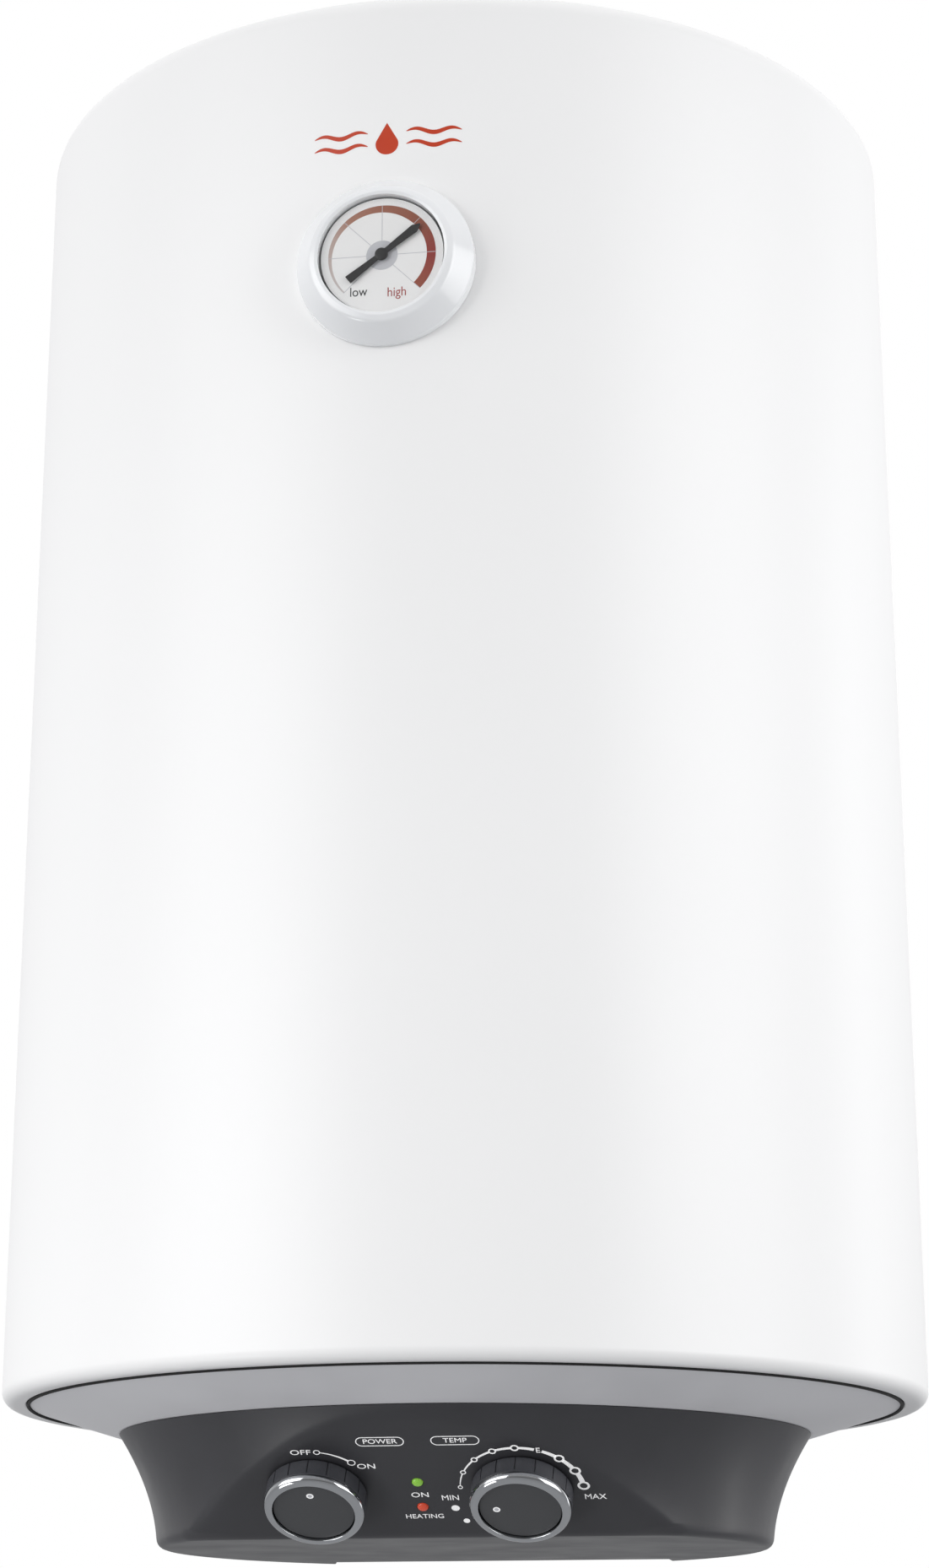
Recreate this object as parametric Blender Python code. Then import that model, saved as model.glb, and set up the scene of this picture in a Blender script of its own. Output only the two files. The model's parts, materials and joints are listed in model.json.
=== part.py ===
"""Wall-hung electric storage water heater, 450 mm across, with its real inner pieces.

World frame: metres, +Z up, the wall at +Y, the front at -Y. The origin is the centre of the
wall bracket's back face. Everything is placed from one empty, "heater", whose own origin is
the middle of the casing's bottom edge, so the heights below are heights above that edge.
"""

import math

import bmesh
import bpy
from mathutils import Matrix, Vector

# ---- Driving dimensions (metres) -----------------------------------------------------------
GAP = 0.0003  # between two pieces that touch
FIT = 0.0005  # round a pin in its hole

BODY_R = 0.225
BODY_H = 0.660
SHEET = 0.0008
TOP_EDGE_R = 0.010
BOTTOM_EDGE_R = 0.006
CURL = 0.012  # how far the casing's bottom edge rolls in
CURL_LIP = 0.003  # height of the rolled edge's inner lip
TOP_LIP = 0.020  # how far the casing's top edge turns in
LID_DOME = 0.002
WALL_CLEARANCE = 0.015  # from the casing's back to the wall
HANG_DROP = 0.180  # bracket centre below the casing's top edge

INSULATION = 0.0205
TANK_WALL = 0.002
DOME_RISE = 0.050
TANK_FLOOR = 0.030  # lowest point of the tank's lower dome
DOME_STEPS = 4  # rings in a quarter turn of a dome
FOAM_MOUTH_STEP = 2  # the lower dome's ring where the foam ends

COVER_SHEET = 0.0015
COVER_GROOVE = 0.001  # dark groove between the casing's lip and the cover
COVER_LOW = -0.012  # height of the cover's flat middle, underside
COVER_ACCESS_R = 0.085
COVER_HANG = 0.003  # from the cover's hanging rim to the casing's wall

HOUSING_TOP_R = 0.168
HOUSING_FLOOR_R = 0.1485
HOUSING_DEPTH = 0.053
HOUSING_WALL = 0.0025
HOUSING_EDGE_R = 0.005
FLARE_POWER = 1.8
PANEL_TILT = math.radians(55)  # of the panel's plane from the vertical
PANEL_CHORD_Y = 0.096  # the panel's lower edge, forward of the axis
NOTCH_HALF = 0.088  # half width of the rear recess for the pipes
NOTCH_CLEARANCE = 0.0022  # from the recess wall to the pipe collars
TAB_X = 0.020
TAB_WIDTH = 0.016
TAB_REACH = 0.015
SCREW_R = 0.0019
SCREW_HEAD_R = 0.0038
SCREW_HEAD_H = 0.0026
SCREW_BITE = 0.006  # how far a housing screw reaches above the cover's underside

KNOB_X = 0.047
KNOB_UP = 0.033  # up the panel from its lower edge
KNOB_R = 0.023
KNOB_H = 0.0088
KNOB_WALL = 0.0015
KNOB_PLATE = 0.0025
KNOB_BOSS_WALL = 0.0032
KNOB_FACE_T = 0.002
KNOB_RING_W = 0.0042
KNOB_RING_H = 0.0034
KNOB_BEVEL = 0.0028  # how far the ring's outer edge rounds in
KNOB_LIFT = 0.0008  # running gap between the knob and the panel
SHAFT_R = 0.003
SWITCH_SIZE = 0.028
SWITCH_DEPTH = 0.020
THERMOSTAT_SIZE = 0.034
THERMOSTAT_DEPTH = 0.024
LAMP_R = 0.0025
LAMP_FLANGE = 0.0013
LAMP_FLANGE_T = 0.0018
GREEN_UP = 0.039
RED_UP = 0.022
BOARD_T = 0.0016
BOARD_MARGIN = 0.006
BOARD_HALF = 0.010

GAUGE_DROP = 0.1468  # gauge centre below the casing's top edge
BEZEL_WIDTH = 0.013
BEZEL_H = 0.0135
BEZEL_SKIRT = 0.008  # how far the bezel's back is extended before it is cut to the casing
DIAL_R = 0.030
DIAL_T = 0.001
DIAL_SEAT = 0.0085  # height of the case's rim above the casing
LENS_T = 0.001
LENS_SINK = 0.0003  # lens face below the bezel's front
GAUGE_CASE_R = 0.024
GAUGE_CASE_WALL = 0.0015
SPINDLE_R = 0.0012
POINTER_TIP = 0.0235
POINTER_TAIL = 0.0195
POINTER_HUB_R = 0.0036
POINTER_HALF = 0.0018  # half width of the needle near its tip and at its tail
POINTER_WAIST = 0.0012  # half width where it leaves the hub
POINTER_POINT = 0.0004  # half width of the blunted tip
POINTER_T = 0.0008
POINTER_LIFT = 0.001  # above the dial
COIL_STRIP = 0.0006
COIL_H = 0.006
COIL_TURNS = 2.5
POINTER_REST = math.radians(52.5)  # clockwise from straight up

FLANGE_BORE = 0.042
FLANGE_LAND = 0.019  # width of the sealing face round the bore
FLANGE_NECK_H = 0.022
GASKET_T = 0.004
PLATE_T = 0.005
FLANGE_BOLTS = 5
BOLT_R = 0.004
BOLT_HEAD_R = 0.0075
BOLT_HEAD_H = 0.0053
ELEMENT_R = 0.0042
ELEMENT_HALF = 0.018
ELEMENT_TOP = 0.270
TERMINAL_REACH = 0.016  # the element's ends below the plate
ANODE_R = 0.011
ANODE_TOP = 0.280
POCKET_R = 0.006
POCKET_WALL = 0.0015
POCKET_TOP = 0.210
BULB_LOW = 0.050
BULB_HIGH = 0.190
CAPILLARY_R = 0.001

PIPE_X = 0.050
PIPE_Y = 0.115
PIPE_R = 0.0105
PIPE_WALL = 0.002
PIPE_END = -0.055
TUBE_WALL = 0.0015  # of the plastic tube that takes hot water from the top of the tank
TUBE_SEAT = 0.020  # how far it is pushed into the hot pipe
COLLAR_WALL = 0.0014
COLLAR_FLANGE = 0.0038
COLLAR_T = 0.004
COLLAR_SLEEVE = 0.003
GLAND_Z = -0.042
GLAND_R = 0.0078
GLAND_BORE = 0.0045
GLAND_HEAD_R = 0.0110
GLAND_HEAD_T = 0.0055
GLAND_NOSE = 0.0085
GLAND_INSIDE = 0.012

BRACKET_W = 0.260
BRACKET_H = 0.060
BRACKET_T = 0.003
FOOT_ANGLE = math.radians(18.75)
FOOT_HALF = 0.020
SLOT_X = 0.090
SLOT_R = 0.0045
SLOT_HEAD_R = 0.009
SLOT_DROP = 0.016
BRACKET_BOLT_UP = 0.015
BLOCK_HALF = 0.012
BLOCK_HALF_H = 0.026
REST_Z = 0.110
REST_HALF = 0.025
REST_H = 0.040

AROUND = 40  # facets round the drum
MIDDLING = 24  # facets round knobs, flange and thermometer
SMALL = 12  # facets round pipes, bolts and shafts
EDGE_STEPS = 2  # facets round a rolled edge
DRILL = 0.02  # how far a drill runs past a wall

# ---- Sizes that follow from them -----------------------------------------------------------
WALL_Y = BODY_R + WALL_CLEARANCE
HANG_HEIGHT = BODY_H - HANG_DROP
GAUGE_Z = BODY_H - GAUGE_DROP
CASING_IN = BODY_R - SHEET
TANK_R = CASING_IN - 2 * GAP - INSULATION
TANK_LOW = TANK_FLOOR + DOME_RISE  # where the lower dome meets the straight wall
LID_SEAT = BODY_H - SHEET - GAP  # top face of the lid's rim, under the casing's lip
FOAM_TOP = LID_SEAT - SHEET - GAP
TANK_HIGH = FOAM_TOP - INSULATION - DOME_RISE
FLANGE_R = FLANGE_BORE + FLANGE_LAND
BOLT_CIRCLE = FLANGE_BORE + FLANGE_LAND / 2
NECK_TOP = TANK_FLOOR - GAP
NECK_LOW = NECK_TOP - FLANGE_NECK_H
PLATE_TOP = NECK_LOW - 2 * GAP - GASKET_T
PLATE_LOW = PLATE_TOP - PLATE_T
HOUSING_TOP = COVER_LOW - GAP
HOUSING_FLOOR = COVER_LOW - HOUSING_DEPTH
SLEEVE_R = PIPE_R + GAP + COLLAR_WALL
COLLAR_R = SLEEVE_R + COLLAR_FLANGE
NOTCH_Y = PIPE_Y - COLLAR_R - NOTCH_CLEARANCE
TAB_Y = NOTCH_Y + TAB_REACH / 2 + GAP
SWITCH_TOP = -HOUSING_WALL - GAP  # behind the panel, along its normal
BEZEL_R = DIAL_R + BEZEL_WIDTH


# ---- Tools ---------------------------------------------------------------------------------
def clear_scene():
    for thing in list(bpy.data.objects):
        bpy.data.objects.remove(thing, do_unlink=True)


def finish(name, colour, roughness, metallic=0.0):
    """A material from a colour (sRGB hex), a roughness and a metallic value."""
    channels = [int(colour[i : i + 2], 16) / 255 for i in (0, 2, 4)]
    linear = [c / 12.92 if c <= 0.04045 else ((c + 0.055) / 1.055) ** 2.4 for c in channels]
    made = bpy.data.materials.new(name)
    made.use_nodes = True
    shader = made.node_tree.nodes["Principled BSDF"]
    shader.inputs["Base Color"].default_value = (*linear, 1.0)
    shader.inputs["Roughness"].default_value = roughness
    shader.inputs["Metallic"].default_value = metallic
    return made


def frame(name, parent=None, location=(0, 0, 0), rotation=(0, 0, 0)):
    """An empty that pieces are placed from."""
    empty = bpy.data.objects.new(name, None)
    bpy.context.scene.collection.objects.link(empty)
    empty.parent = parent
    empty.location = location
    empty.rotation_euler = rotation
    return empty


def place(name, data, look, parent, location=(0, 0, 0), rotation=(0, 0, 0)):
    piece = bpy.data.objects.new(name, data)
    bpy.context.scene.collection.objects.link(piece)
    piece.parent = parent
    piece.location = location
    piece.rotation_euler = rotation
    if look:
        data.materials.append(finish(name, *look))
    return piece


def solid(name, shape, look, parent, location=(0, 0, 0), rotation=(0, 0, 0)):
    """Turns a bmesh into a named piece with its faces pointing out."""
    bmesh.ops.recalc_face_normals(shape, faces=shape.faces)
    mesh = bpy.data.meshes.new(name)
    shape.to_mesh(mesh)
    shape.free()
    mesh.shade_smooth()
    mesh.set_sharp_from_angle(angle=math.radians(30))
    return place(name, mesh, look, parent, location, rotation)


def cut(piece, name, shape, location=(0, 0, 0), rotation=(0, 0, 0), parent=None, operation="DIFFERENCE"):
    """Cuts a shape out of a piece, or joins it on; the cutter stays as a hidden guide."""
    cutter = solid(name, shape, None, parent or piece.parent, location, rotation)
    use_cutter(piece, cutter, operation)
    return cutter


def use_cutter(piece, cutter, operation="DIFFERENCE"):
    cutter.hide_render = True
    cutter.display_type = "WIRE"
    boolean = piece.modifiers.new(cutter.name, "BOOLEAN")
    boolean.operation = operation
    boolean.object = cutter


def lathe(outline, facets=AROUND):
    """Turns a closed outline of (radius, height) points about Z."""
    shape = bmesh.new()
    points = [shape.verts.new((r, 0, z)) for r, z in outline]
    edges = [
        shape.edges.new((a, b))
        for a, b in zip(points, points[1:] + points[:1])
        if a.co.x + b.co.x > 1e-6
    ]
    bmesh.ops.spin(
        shape, geom=points + edges, axis=(0, 0, 1), angle=math.tau, steps=facets, use_merge=True
    )
    bmesh.ops.remove_doubles(shape, verts=shape.verts, dist=1e-6)
    bmesh.ops.dissolve_degenerate(shape, edges=shape.edges, dist=1e-6)
    return shape


def prism(outline, low, high):
    """Extrudes a closed outline of (x, y) points from z = low to z = high."""
    shape = bmesh.new()
    base = shape.faces.new([shape.verts.new((x, y, low)) for x, y in outline])
    grown = bmesh.ops.extrude_face_region(shape, geom=[base])["geom"]
    raised = [v for v in grown if isinstance(v, bmesh.types.BMVert)]
    bmesh.ops.translate(shape, verts=raised, vec=(0, 0, high - low))
    return shape


def arc(centre, radius, start, end, steps):
    """Points from the start angle to the end angle, both in degrees, ends included."""
    angles = [math.radians(start + (end - start) * i / steps) for i in range(steps + 1)]
    return [(centre[0] + radius * math.cos(a), centre[1] + radius * math.sin(a)) for a in angles]


def ring_points(count, radius, start=0.0):
    """Places spread evenly round a circle, from an angle in degrees."""
    return arc((0, 0), radius, start, start + 360 * (count - 1) / count, count - 1)


def circle(radius, facets=SMALL):
    return ring_points(facets, radius)


def peg(radius, low, high, facets=SMALL):
    return prism(circle(radius, facets), low, high)


def washer(inner, outer, low, high, facets=MIDDLING):
    return lathe([(inner, low), (outer, low), (outer, high), (inner, high)], facets)


def block(x0, x1, y0, y1, z0, z1):
    return prism([(x0, y0), (x1, y0), (x1, y1), (x0, y1)], z0, z1)


def pegs(places, radius, low, high, facets=SMALL):
    """One shape of upright round pegs, for drilling several holes at once."""
    shape = bmesh.new()
    for x, y in places:
        bmesh.ops.create_cone(
            shape,
            cap_ends=True,
            segments=facets,
            radius1=radius,
            radius2=radius,
            depth=high - low,
            matrix=Matrix.Translation((x, y, (low + high) / 2)),
        )
    return shape


def tube(name, points, radius, look, parent):
    """A round rod along a line of points."""
    curve = bpy.data.curves.new(name, "CURVE")
    curve.dimensions = "3D"
    curve.bevel_depth = radius
    curve.bevel_resolution = 2
    curve.use_fill_caps = True
    line = curve.splines.new("POLY")
    line.points.add(len(points) - 1)
    for spot, point in zip(line.points, points):
        spot.co = (*point, 1.0)
    return place(name, curve, look, parent)


def smooth_line(stops, steps):
    """A Catmull-Rom line through the stops."""
    stops = [Vector(p) for p in stops]
    padded = [2 * stops[0] - stops[1], *stops, 2 * stops[-1] - stops[-2]]
    line = []
    for a, b, c, d in zip(padded, padded[1:], padded[2:], padded[3:]):
        for i in range(steps):
            t = i / steps
            line.append(
                0.5 * (2 * b + (c - a) * t + (2 * a - 5 * b + 4 * c - d) * t**2
                       + (3 * b - a - 3 * c + d) * t**3)
            )
    return [tuple(p) for p in line + [stops[-1]]]


def hex_bolt(name, seat, tip, parent, location, rotation=(0, 0, 0)):
    """A hexagon bolt along its own Z: the head lies below the seat, the shank reaches up to the tip."""
    shank = peg(BOLT_R, seat - BOLT_HEAD_H / 2, tip)
    bolt = solid(name, shank, ZINC, parent, location, rotation)
    head = peg(BOLT_HEAD_R, seat - BOLT_HEAD_H, seat, 6)
    cut(bolt, f"{name}_head", head, location, rotation, parent, "UNION")


# ---- Drum: casing, lid, foam, tank ---------------------------------------------------------
# Each finish is a colour, a roughness and, for a metal, a metallic value.
OUT_FRONT = (math.pi / 2, 0, 0)  # turns local Z to face the front
OUT_BACK = (-math.pi / 2, 0, 0)  # turns local Z to face the wall
FEET = (("left", FOOT_ANGLE), ("right", -FOOT_ANGLE))
WHITE_LACQUER = ("F2F3F4", 0.22)
WHITE_PLASTIC = ("ECEDEE", 0.30)
STEEL = ("8A8D90", 0.38, 1.0)
ZINC = ("B4B7BA", 0.35, 1.0)
ENAMEL = ("27406B", 0.25)
BEIGE_PLASTIC = ("E4E0D2", 0.50)
COPPER = ("B07A4E", 0.30, 1.0)
FOAM = ("E8D9A0", 0.95)
DARK_PLASTIC = ("3B3C3F", 0.42)
BLACK_PLASTIC = ("1C1D1F", 0.45)
CHROME = ("D8DADC", 0.08, 1.0)
RUBBER = ("202020", 0.80)


def vessel(grow, mouth):
    """The tank's outline moved out by grow, from its mouth (an angle up the lower dome) to its top."""
    radius, rise = TANK_R + grow, DOME_RISE + grow
    steps = [math.pi / 2 * i / DOME_STEPS for i in range(DOME_STEPS)]
    lower = [mouth] + [angle for angle in reversed(steps) if angle < mouth]
    outline = [(radius * math.cos(a), TANK_LOW - rise * math.sin(a)) for a in lower]
    outline += [(radius * math.cos(a), TANK_HIGH + rise * math.sin(a)) for a in steps]
    return outline + [(0.0, TANK_HIGH + rise)]


def outer_casing(heater):
    corner = BODY_R - BOTTOM_EDGE_R
    shoulder = (BODY_R - TOP_EDGE_R, BODY_H - TOP_EDGE_R)
    outside = (
        [(BODY_R - CURL, CURL_LIP), (BODY_R - CURL, 0.0)]
        + arc((corner, BOTTOM_EDGE_R), BOTTOM_EDGE_R, -90, 0, EDGE_STEPS)
        + arc(shoulder, TOP_EDGE_R, 0, 90, EDGE_STEPS)
        + [(BODY_R - TOP_LIP, BODY_H)]
    )
    inside = (
        [(BODY_R - TOP_LIP, BODY_H - SHEET)]
        + arc(shoulder, TOP_EDGE_R - SHEET, 90, 0, EDGE_STEPS)
        + arc((corner, BOTTOM_EDGE_R), BOTTOM_EDGE_R - SHEET, 0, -90, EDGE_STEPS)
        + [(BODY_R - CURL + SHEET, SHEET), (BODY_R - CURL + SHEET, CURL_LIP)]
    )
    casing = solid("outer_casing", lathe(outside + inside), WHITE_LACQUER, heater)
    cut(casing, "casing_gauge_hole", peg(GAUGE_CASE_R + FIT, -DRILL, DRILL, MIDDLING),
        (0, -BODY_R, GAUGE_Z), OUT_FRONT)
    return casing


def top_cover(heater):
    """A lid whose rim sits under the casing's top lip and whose middle stands in its opening."""
    step = BODY_R - TOP_LIP - FIT
    rim = BODY_R - TOP_EDGE_R
    crown = [(step * share, BODY_H + LID_DOME * (1 - share**2)) for share in (0, 0.4, 0.75, 1)]
    outline = (
        crown
        + [(step, LID_SEAT), (rim, LID_SEAT), (rim, LID_SEAT - SHEET), (step - SHEET, LID_SEAT - SHEET)]
        + [(step - SHEET, crown[-1][1] - SHEET)]
        + [(r, z - SHEET) for r, z in reversed(crown[:-1])]
    )
    return solid("top_cover", lathe(outline), WHITE_LACQUER, heater)


def insulation_foam(heater):
    outer = CASING_IN - GAP
    shoulder_r = TOP_EDGE_R - SHEET - GAP
    low = CURL_LIP + GAP + COVER_SHEET + GAP
    cavity = vessel(GAP, math.pi / 2 * FOAM_MOUTH_STEP / DOME_STEPS)
    outline = (
        [(0.0, FOAM_TOP)]
        + arc((outer - shoulder_r, FOAM_TOP - shoulder_r), shoulder_r, 90, 0, 2)
        + [(outer, BOTTOM_EDGE_R + GAP), (outer - 2 * COVER_SHEET, low), (cavity[0][0], low)]
        + cavity
    )
    foam = solid("insulation_foam", lathe(outline), FOAM, heater)
    cut(foam, "foam_gauge_hole", peg(GAUGE_CASE_R + FIT, -INSULATION - DRILL, DRILL, MIDDLING),
        (0, -BODY_R, GAUGE_Z), OUT_FRONT)
    for side, angle in FEET:
        pocket = block(-BLOCK_HALF - FIT, BLOCK_HALF + FIT, TANK_R - TANK_WALL, BODY_R,
                       -BLOCK_HALF_H - FIT, BLOCK_HALF_H + FIT)
        cut(foam, f"foam_pocket_{side}", pocket, (0, 0, HANG_HEIGHT), (0, 0, angle))
    return foam


def inner_tank(heater):
    mouth = math.acos(FLANGE_BORE / TANK_R)
    outline = vessel(0, mouth) + vessel(-TANK_WALL, mouth)[::-1]
    tank = solid("inner_tank", lathe(outline), ENAMEL, heater)
    holes = pegs([(-PIPE_X, PIPE_Y), (PIPE_X, PIPE_Y)], PIPE_R + GAP, 0, TANK_LOW)
    cut(tank, "tank_pipe_holes", holes)
    return tank


# ---- Flange and what it carries ------------------------------------------------------------
def bolt_places():
    return ring_points(FLANGE_BOLTS, BOLT_CIRCLE, 90)


def plate_stations():
    """Where each piece passes through the flange plate: name to (x, y, radius)."""
    return {
        "element_left": (-ELEMENT_HALF, -0.008, ELEMENT_R),
        "element_right": (ELEMENT_HALF, -0.008, ELEMENT_R),
        "anode": (0, 0.022, BOLT_R),
        "pocket": (0, -0.026, POCKET_R),
    }


def flange(heater):
    seal_low = PLATE_TOP + GAP
    neck = solid("flange_neck", washer(FLANGE_BORE, FLANGE_R, NECK_LOW, NECK_TOP), STEEL, heater)
    gasket = solid("flange_gasket", washer(FLANGE_BORE, FLANGE_R, seal_low, seal_low + GASKET_T),
                   RUBBER, heater)
    plate = solid("flange_plate", peg(FLANGE_R, PLATE_LOW, PLATE_TOP, MIDDLING), ZINC, heater)
    tip = NECK_TOP - FLANGE_NECK_H / 3
    threads = pegs(bolt_places(), BOLT_R + GAP, PLATE_LOW - DRILL, tip + FIT)
    through = cut(plate, "flange_bolt_holes", threads)
    use_cutter(gasket, through)
    use_cutter(neck, through)
    for name, (x, y, radius) in plate_stations().items():
        cut(plate, f"plate_hole_{name}", pegs([(x, y)], radius + GAP, PLATE_LOW - DRILL, PLATE_TOP + DRILL))
    for number, (x, y) in enumerate(bolt_places(), 1):
        hex_bolt(f"flange_bolt_{number}", PLATE_LOW - GAP, tip, heater, (x, y, 0))


def heating_element(heater):
    """A hairpin: two legs through the flange plate, joined by a half turn."""
    y = plate_stations()["element_left"][1]
    low = PLATE_LOW - TERMINAL_REACH
    bend = arc((0, ELEMENT_TOP - ELEMENT_HALF), ELEMENT_HALF, 180, 0, 8)
    line = [(-ELEMENT_HALF, low)] + bend + [(ELEMENT_HALF, low)]
    tube("heating_element", [(x, y, z) for x, z in line], ELEMENT_R - GAP, COPPER, heater)


def anode(heater):
    """A magnesium rod on a threaded stud through the plate."""
    x, y, stud = plate_stations()["anode"]
    low = PLATE_LOW - BOLT_HEAD_H
    rod_low = PLATE_TOP + GAP
    rod = [(0, low), (stud, low), (stud, rod_low), (ANODE_R, rod_low), (ANODE_R, ANODE_TOP), (0, ANODE_TOP)]
    solid("magnesium_anode", lathe(rod, SMALL), ("9A9C98", 0.55, 1.0), heater, (x, y, 0))


def thermostat_pocket(heater):
    """A closed-topped tube through the plate, the thermostat's bulb inside it and its capillary."""
    x, y, radius = plate_stations()["pocket"]
    bore = radius - POCKET_WALL
    low = PLATE_LOW - POCKET_WALL
    roof = POCKET_TOP - POCKET_WALL
    sleeve = [(bore, low), (radius, low), (radius, POCKET_TOP), (0, POCKET_TOP), (0, roof), (bore, roof)]
    solid("thermostat_pocket", lathe(sleeve, SMALL), COPPER, heater, (x, y, 0))
    solid("thermostat_bulb", peg(bore - FIT, BULB_LOW, BULB_HIGH), COPPER, heater, (x, y, 0))
    capillary(heater, BULB_LOW - GAP, y)


def panel_point(across, up, out):
    """A place on the inclined panel in the heater's own frame; out is along its outward normal."""
    slope, rise = math.sin(PANEL_TILT), math.cos(PANEL_TILT)
    return (
        across,
        -PANEL_CHORD_Y - up * slope - out * rise,
        HOUSING_FLOOR + up * rise - out * slope,
    )


def capillary(heater, bulb_low, y):
    """The thermostat's thin tube, from its bulb down out of the pocket and forward to its body."""
    end = Vector(panel_point(KNOB_X - THERMOSTAT_SIZE / 2 - CAPILLARY_R - GAP, KNOB_UP,
                             SWITCH_TOP - THERMOSTAT_DEPTH / 2))
    level = HOUSING_FLOOR + THERMOSTAT_DEPTH

    def on_the_way(share_x, share_y, z):
        return (end.x * share_x, y + (end.y - y) * share_y, z)

    stops = [
        (0, y, bulb_low),
        (0, y, PLATE_LOW - 0.006),
        (0, y, PLATE_LOW - 0.018),
        on_the_way(0.15, 0.25, level + 0.002),
        on_the_way(0.45, 0.62, level),
        on_the_way(0.70, 0.92, (level + end.z) / 2),
        tuple(end),
    ]
    tube("thermostat_capillary", smooth_line(stops, 3), CAPILLARY_R, COPPER, heater)


# ---- Bottom cover, housing and pipes -------------------------------------------------------
def bottom_cover(heater):
    """A dished ring that hangs on the casing's rolled lip by its outer flange."""
    edge = BODY_R - CURL - COVER_GROOVE
    seat = CURL_LIP + GAP
    top = seat + COVER_SHEET
    rim = BODY_R - SHEET - COVER_HANG
    outline = [
        (rim, top),
        (rim, seat),
        (edge, seat),
        (edge, 0),
        (HOUSING_TOP_R, COVER_LOW),
        (COVER_ACCESS_R, COVER_LOW),
        (COVER_ACCESS_R, COVER_LOW + COVER_SHEET),
        (HOUSING_TOP_R, COVER_LOW + COVER_SHEET),
        (edge - COVER_SHEET, COVER_SHEET),
        (edge - COVER_SHEET, top),
    ]
    cover = solid("bottom_cover", lathe(outline), WHITE_PLASTIC, heater)
    holes = pegs([(-PIPE_X, PIPE_Y), (PIPE_X, PIPE_Y)], SLEEVE_R + GAP, COVER_LOW - DRILL, 0)
    cut(cover, "cover_pipe_holes", holes)
    cut(cover, "cover_screw_holes", screw_drill())
    return cover


def screw_drill():
    return pegs([(-TAB_X, TAB_Y), (TAB_X, TAB_Y)], SCREW_R + GAP, COVER_LOW - DRILL, 0, 8)


def housing_outline(inset):
    """The housing's flared side from its top to its floor, moved in by inset."""
    steps = 6
    side = []
    for i in range(steps + 1):
        share = 1 - i / steps * 0.9
        radius = HOUSING_FLOOR_R + (HOUSING_TOP_R - HOUSING_FLOOR_R) * share**FLARE_POWER
        side.append((radius - inset, HOUSING_FLOOR + (HOUSING_TOP - HOUSING_FLOOR) * share))
    edge = HOUSING_EDGE_R - inset
    floor = HOUSING_FLOOR + inset
    foot_r = HOUSING_FLOOR_R - inset
    return side + arc((foot_r - edge, floor + edge), edge, 0, -90, 3)[1:] + [(0, floor)]


def beyond_panel(inset):
    """Everything outside the inclined panel, in the panel's own frame."""
    return block(-0.25, 0.25, -0.12, 0.25, -inset, 0.15)


def notch(inset):
    half = NOTCH_HALF + inset
    return block(-half, half, NOTCH_Y - inset, 0.25, HOUSING_FLOOR - 0.02, 0.05)


def control_housing(heater, panel):
    outside = [(0, HOUSING_TOP)] + housing_outline(0)
    housing = solid("control_housing", lathe(outside), DARK_PLASTIC, heater)
    side = housing_outline(HOUSING_WALL)
    inside = [(0, 0.03), (side[0][0], 0.03)] + side
    room = solid("housing_room", lathe(inside), None, heater)
    cut(room, "room_front", beyond_panel(HOUSING_WALL), parent=panel)
    cut(room, "room_notch", notch(HOUSING_WALL))
    use_cutter(housing, room)
    cut(housing, "housing_front", beyond_panel(0), parent=panel)
    cut(housing, "housing_notch", notch(0))
    half = TAB_WIDTH / 2
    for side_name, x in (("left", -TAB_X), ("right", TAB_X)):
        tab = block(x - half, x + half, NOTCH_Y - HOUSING_WALL / 2, NOTCH_Y + TAB_REACH,
                    HOUSING_TOP - HOUSING_WALL, HOUSING_TOP)
        cut(housing, f"housing_tab_{side_name}", tab, operation="UNION")
    cut(housing, "housing_screw_holes", screw_drill())
    cut(housing, "housing_shaft_holes",
        pegs([(-KNOB_X, KNOB_UP), (KNOB_X, KNOB_UP)], SHAFT_R + 2 * FIT, -DRILL, DRILL), parent=panel)
    cut(housing, "housing_lamp_holes",
        pegs([(0, GREEN_UP), (0, RED_UP)], LAMP_R + GAP, -DRILL, DRILL), parent=panel)
    cut(housing, "housing_gland_hole", peg(GLAND_R + GAP, -DRILL, DRILL), (0, NOTCH_Y, GLAND_Z), OUT_BACK)
    return housing


def housing_screws(heater):
    head = HOUSING_TOP - HOUSING_WALL - GAP
    tip = COVER_LOW + SCREW_BITE
    screw = [(0, head - SCREW_HEAD_H), (SCREW_HEAD_R, head - SCREW_HEAD_H), (SCREW_HEAD_R, head),
             (SCREW_R, head), (SCREW_R, tip), (0, tip + SCREW_R / 2)]
    for number, x in enumerate((-TAB_X, TAB_X), 1):
        solid(f"housing_screw_{number}", lathe(screw, SMALL), ZINC, heater, (x, TAB_Y, 0))


def pipes(heater):
    """Two pipes out of the tank's lower dome, cold on the right; a tube feeds the hot one from the top."""
    top = TANK_FLOOR + DOME_RISE
    bore = PIPE_R + GAP
    low, seat, high = COVER_LOW - COLLAR_T, COVER_LOW - GAP, COVER_LOW + COLLAR_SLEEVE
    collar = [(bore, low), (COLLAR_R, low), (COLLAR_R, seat), (SLEEVE_R, seat), (SLEEVE_R, high),
              (bore, high)]
    for name, x, colour in (("cold", PIPE_X, ("2F62B5", 0.45)), ("hot", -PIPE_X, ("C23A2E", 0.45))):
        wall = washer(PIPE_R - PIPE_WALL, PIPE_R, PIPE_END, top, SMALL)
        solid(f"{name}_pipe", wall, STEEL, heater, (x, PIPE_Y, 0))
        solid(f"{name}_collar", lathe(collar, SMALL), colour, heater, (x, PIPE_Y, 0))
    tube_r = PIPE_R - PIPE_WALL - GAP
    riser = washer(tube_r - TUBE_WALL, tube_r, top - TUBE_SEAT, TANK_HIGH + DOME_RISE / 2, SMALL)
    solid("hot_outlet_tube", riser, BEIGE_PLASTIC, heater, (-PIPE_X, PIPE_Y, 0))


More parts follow.
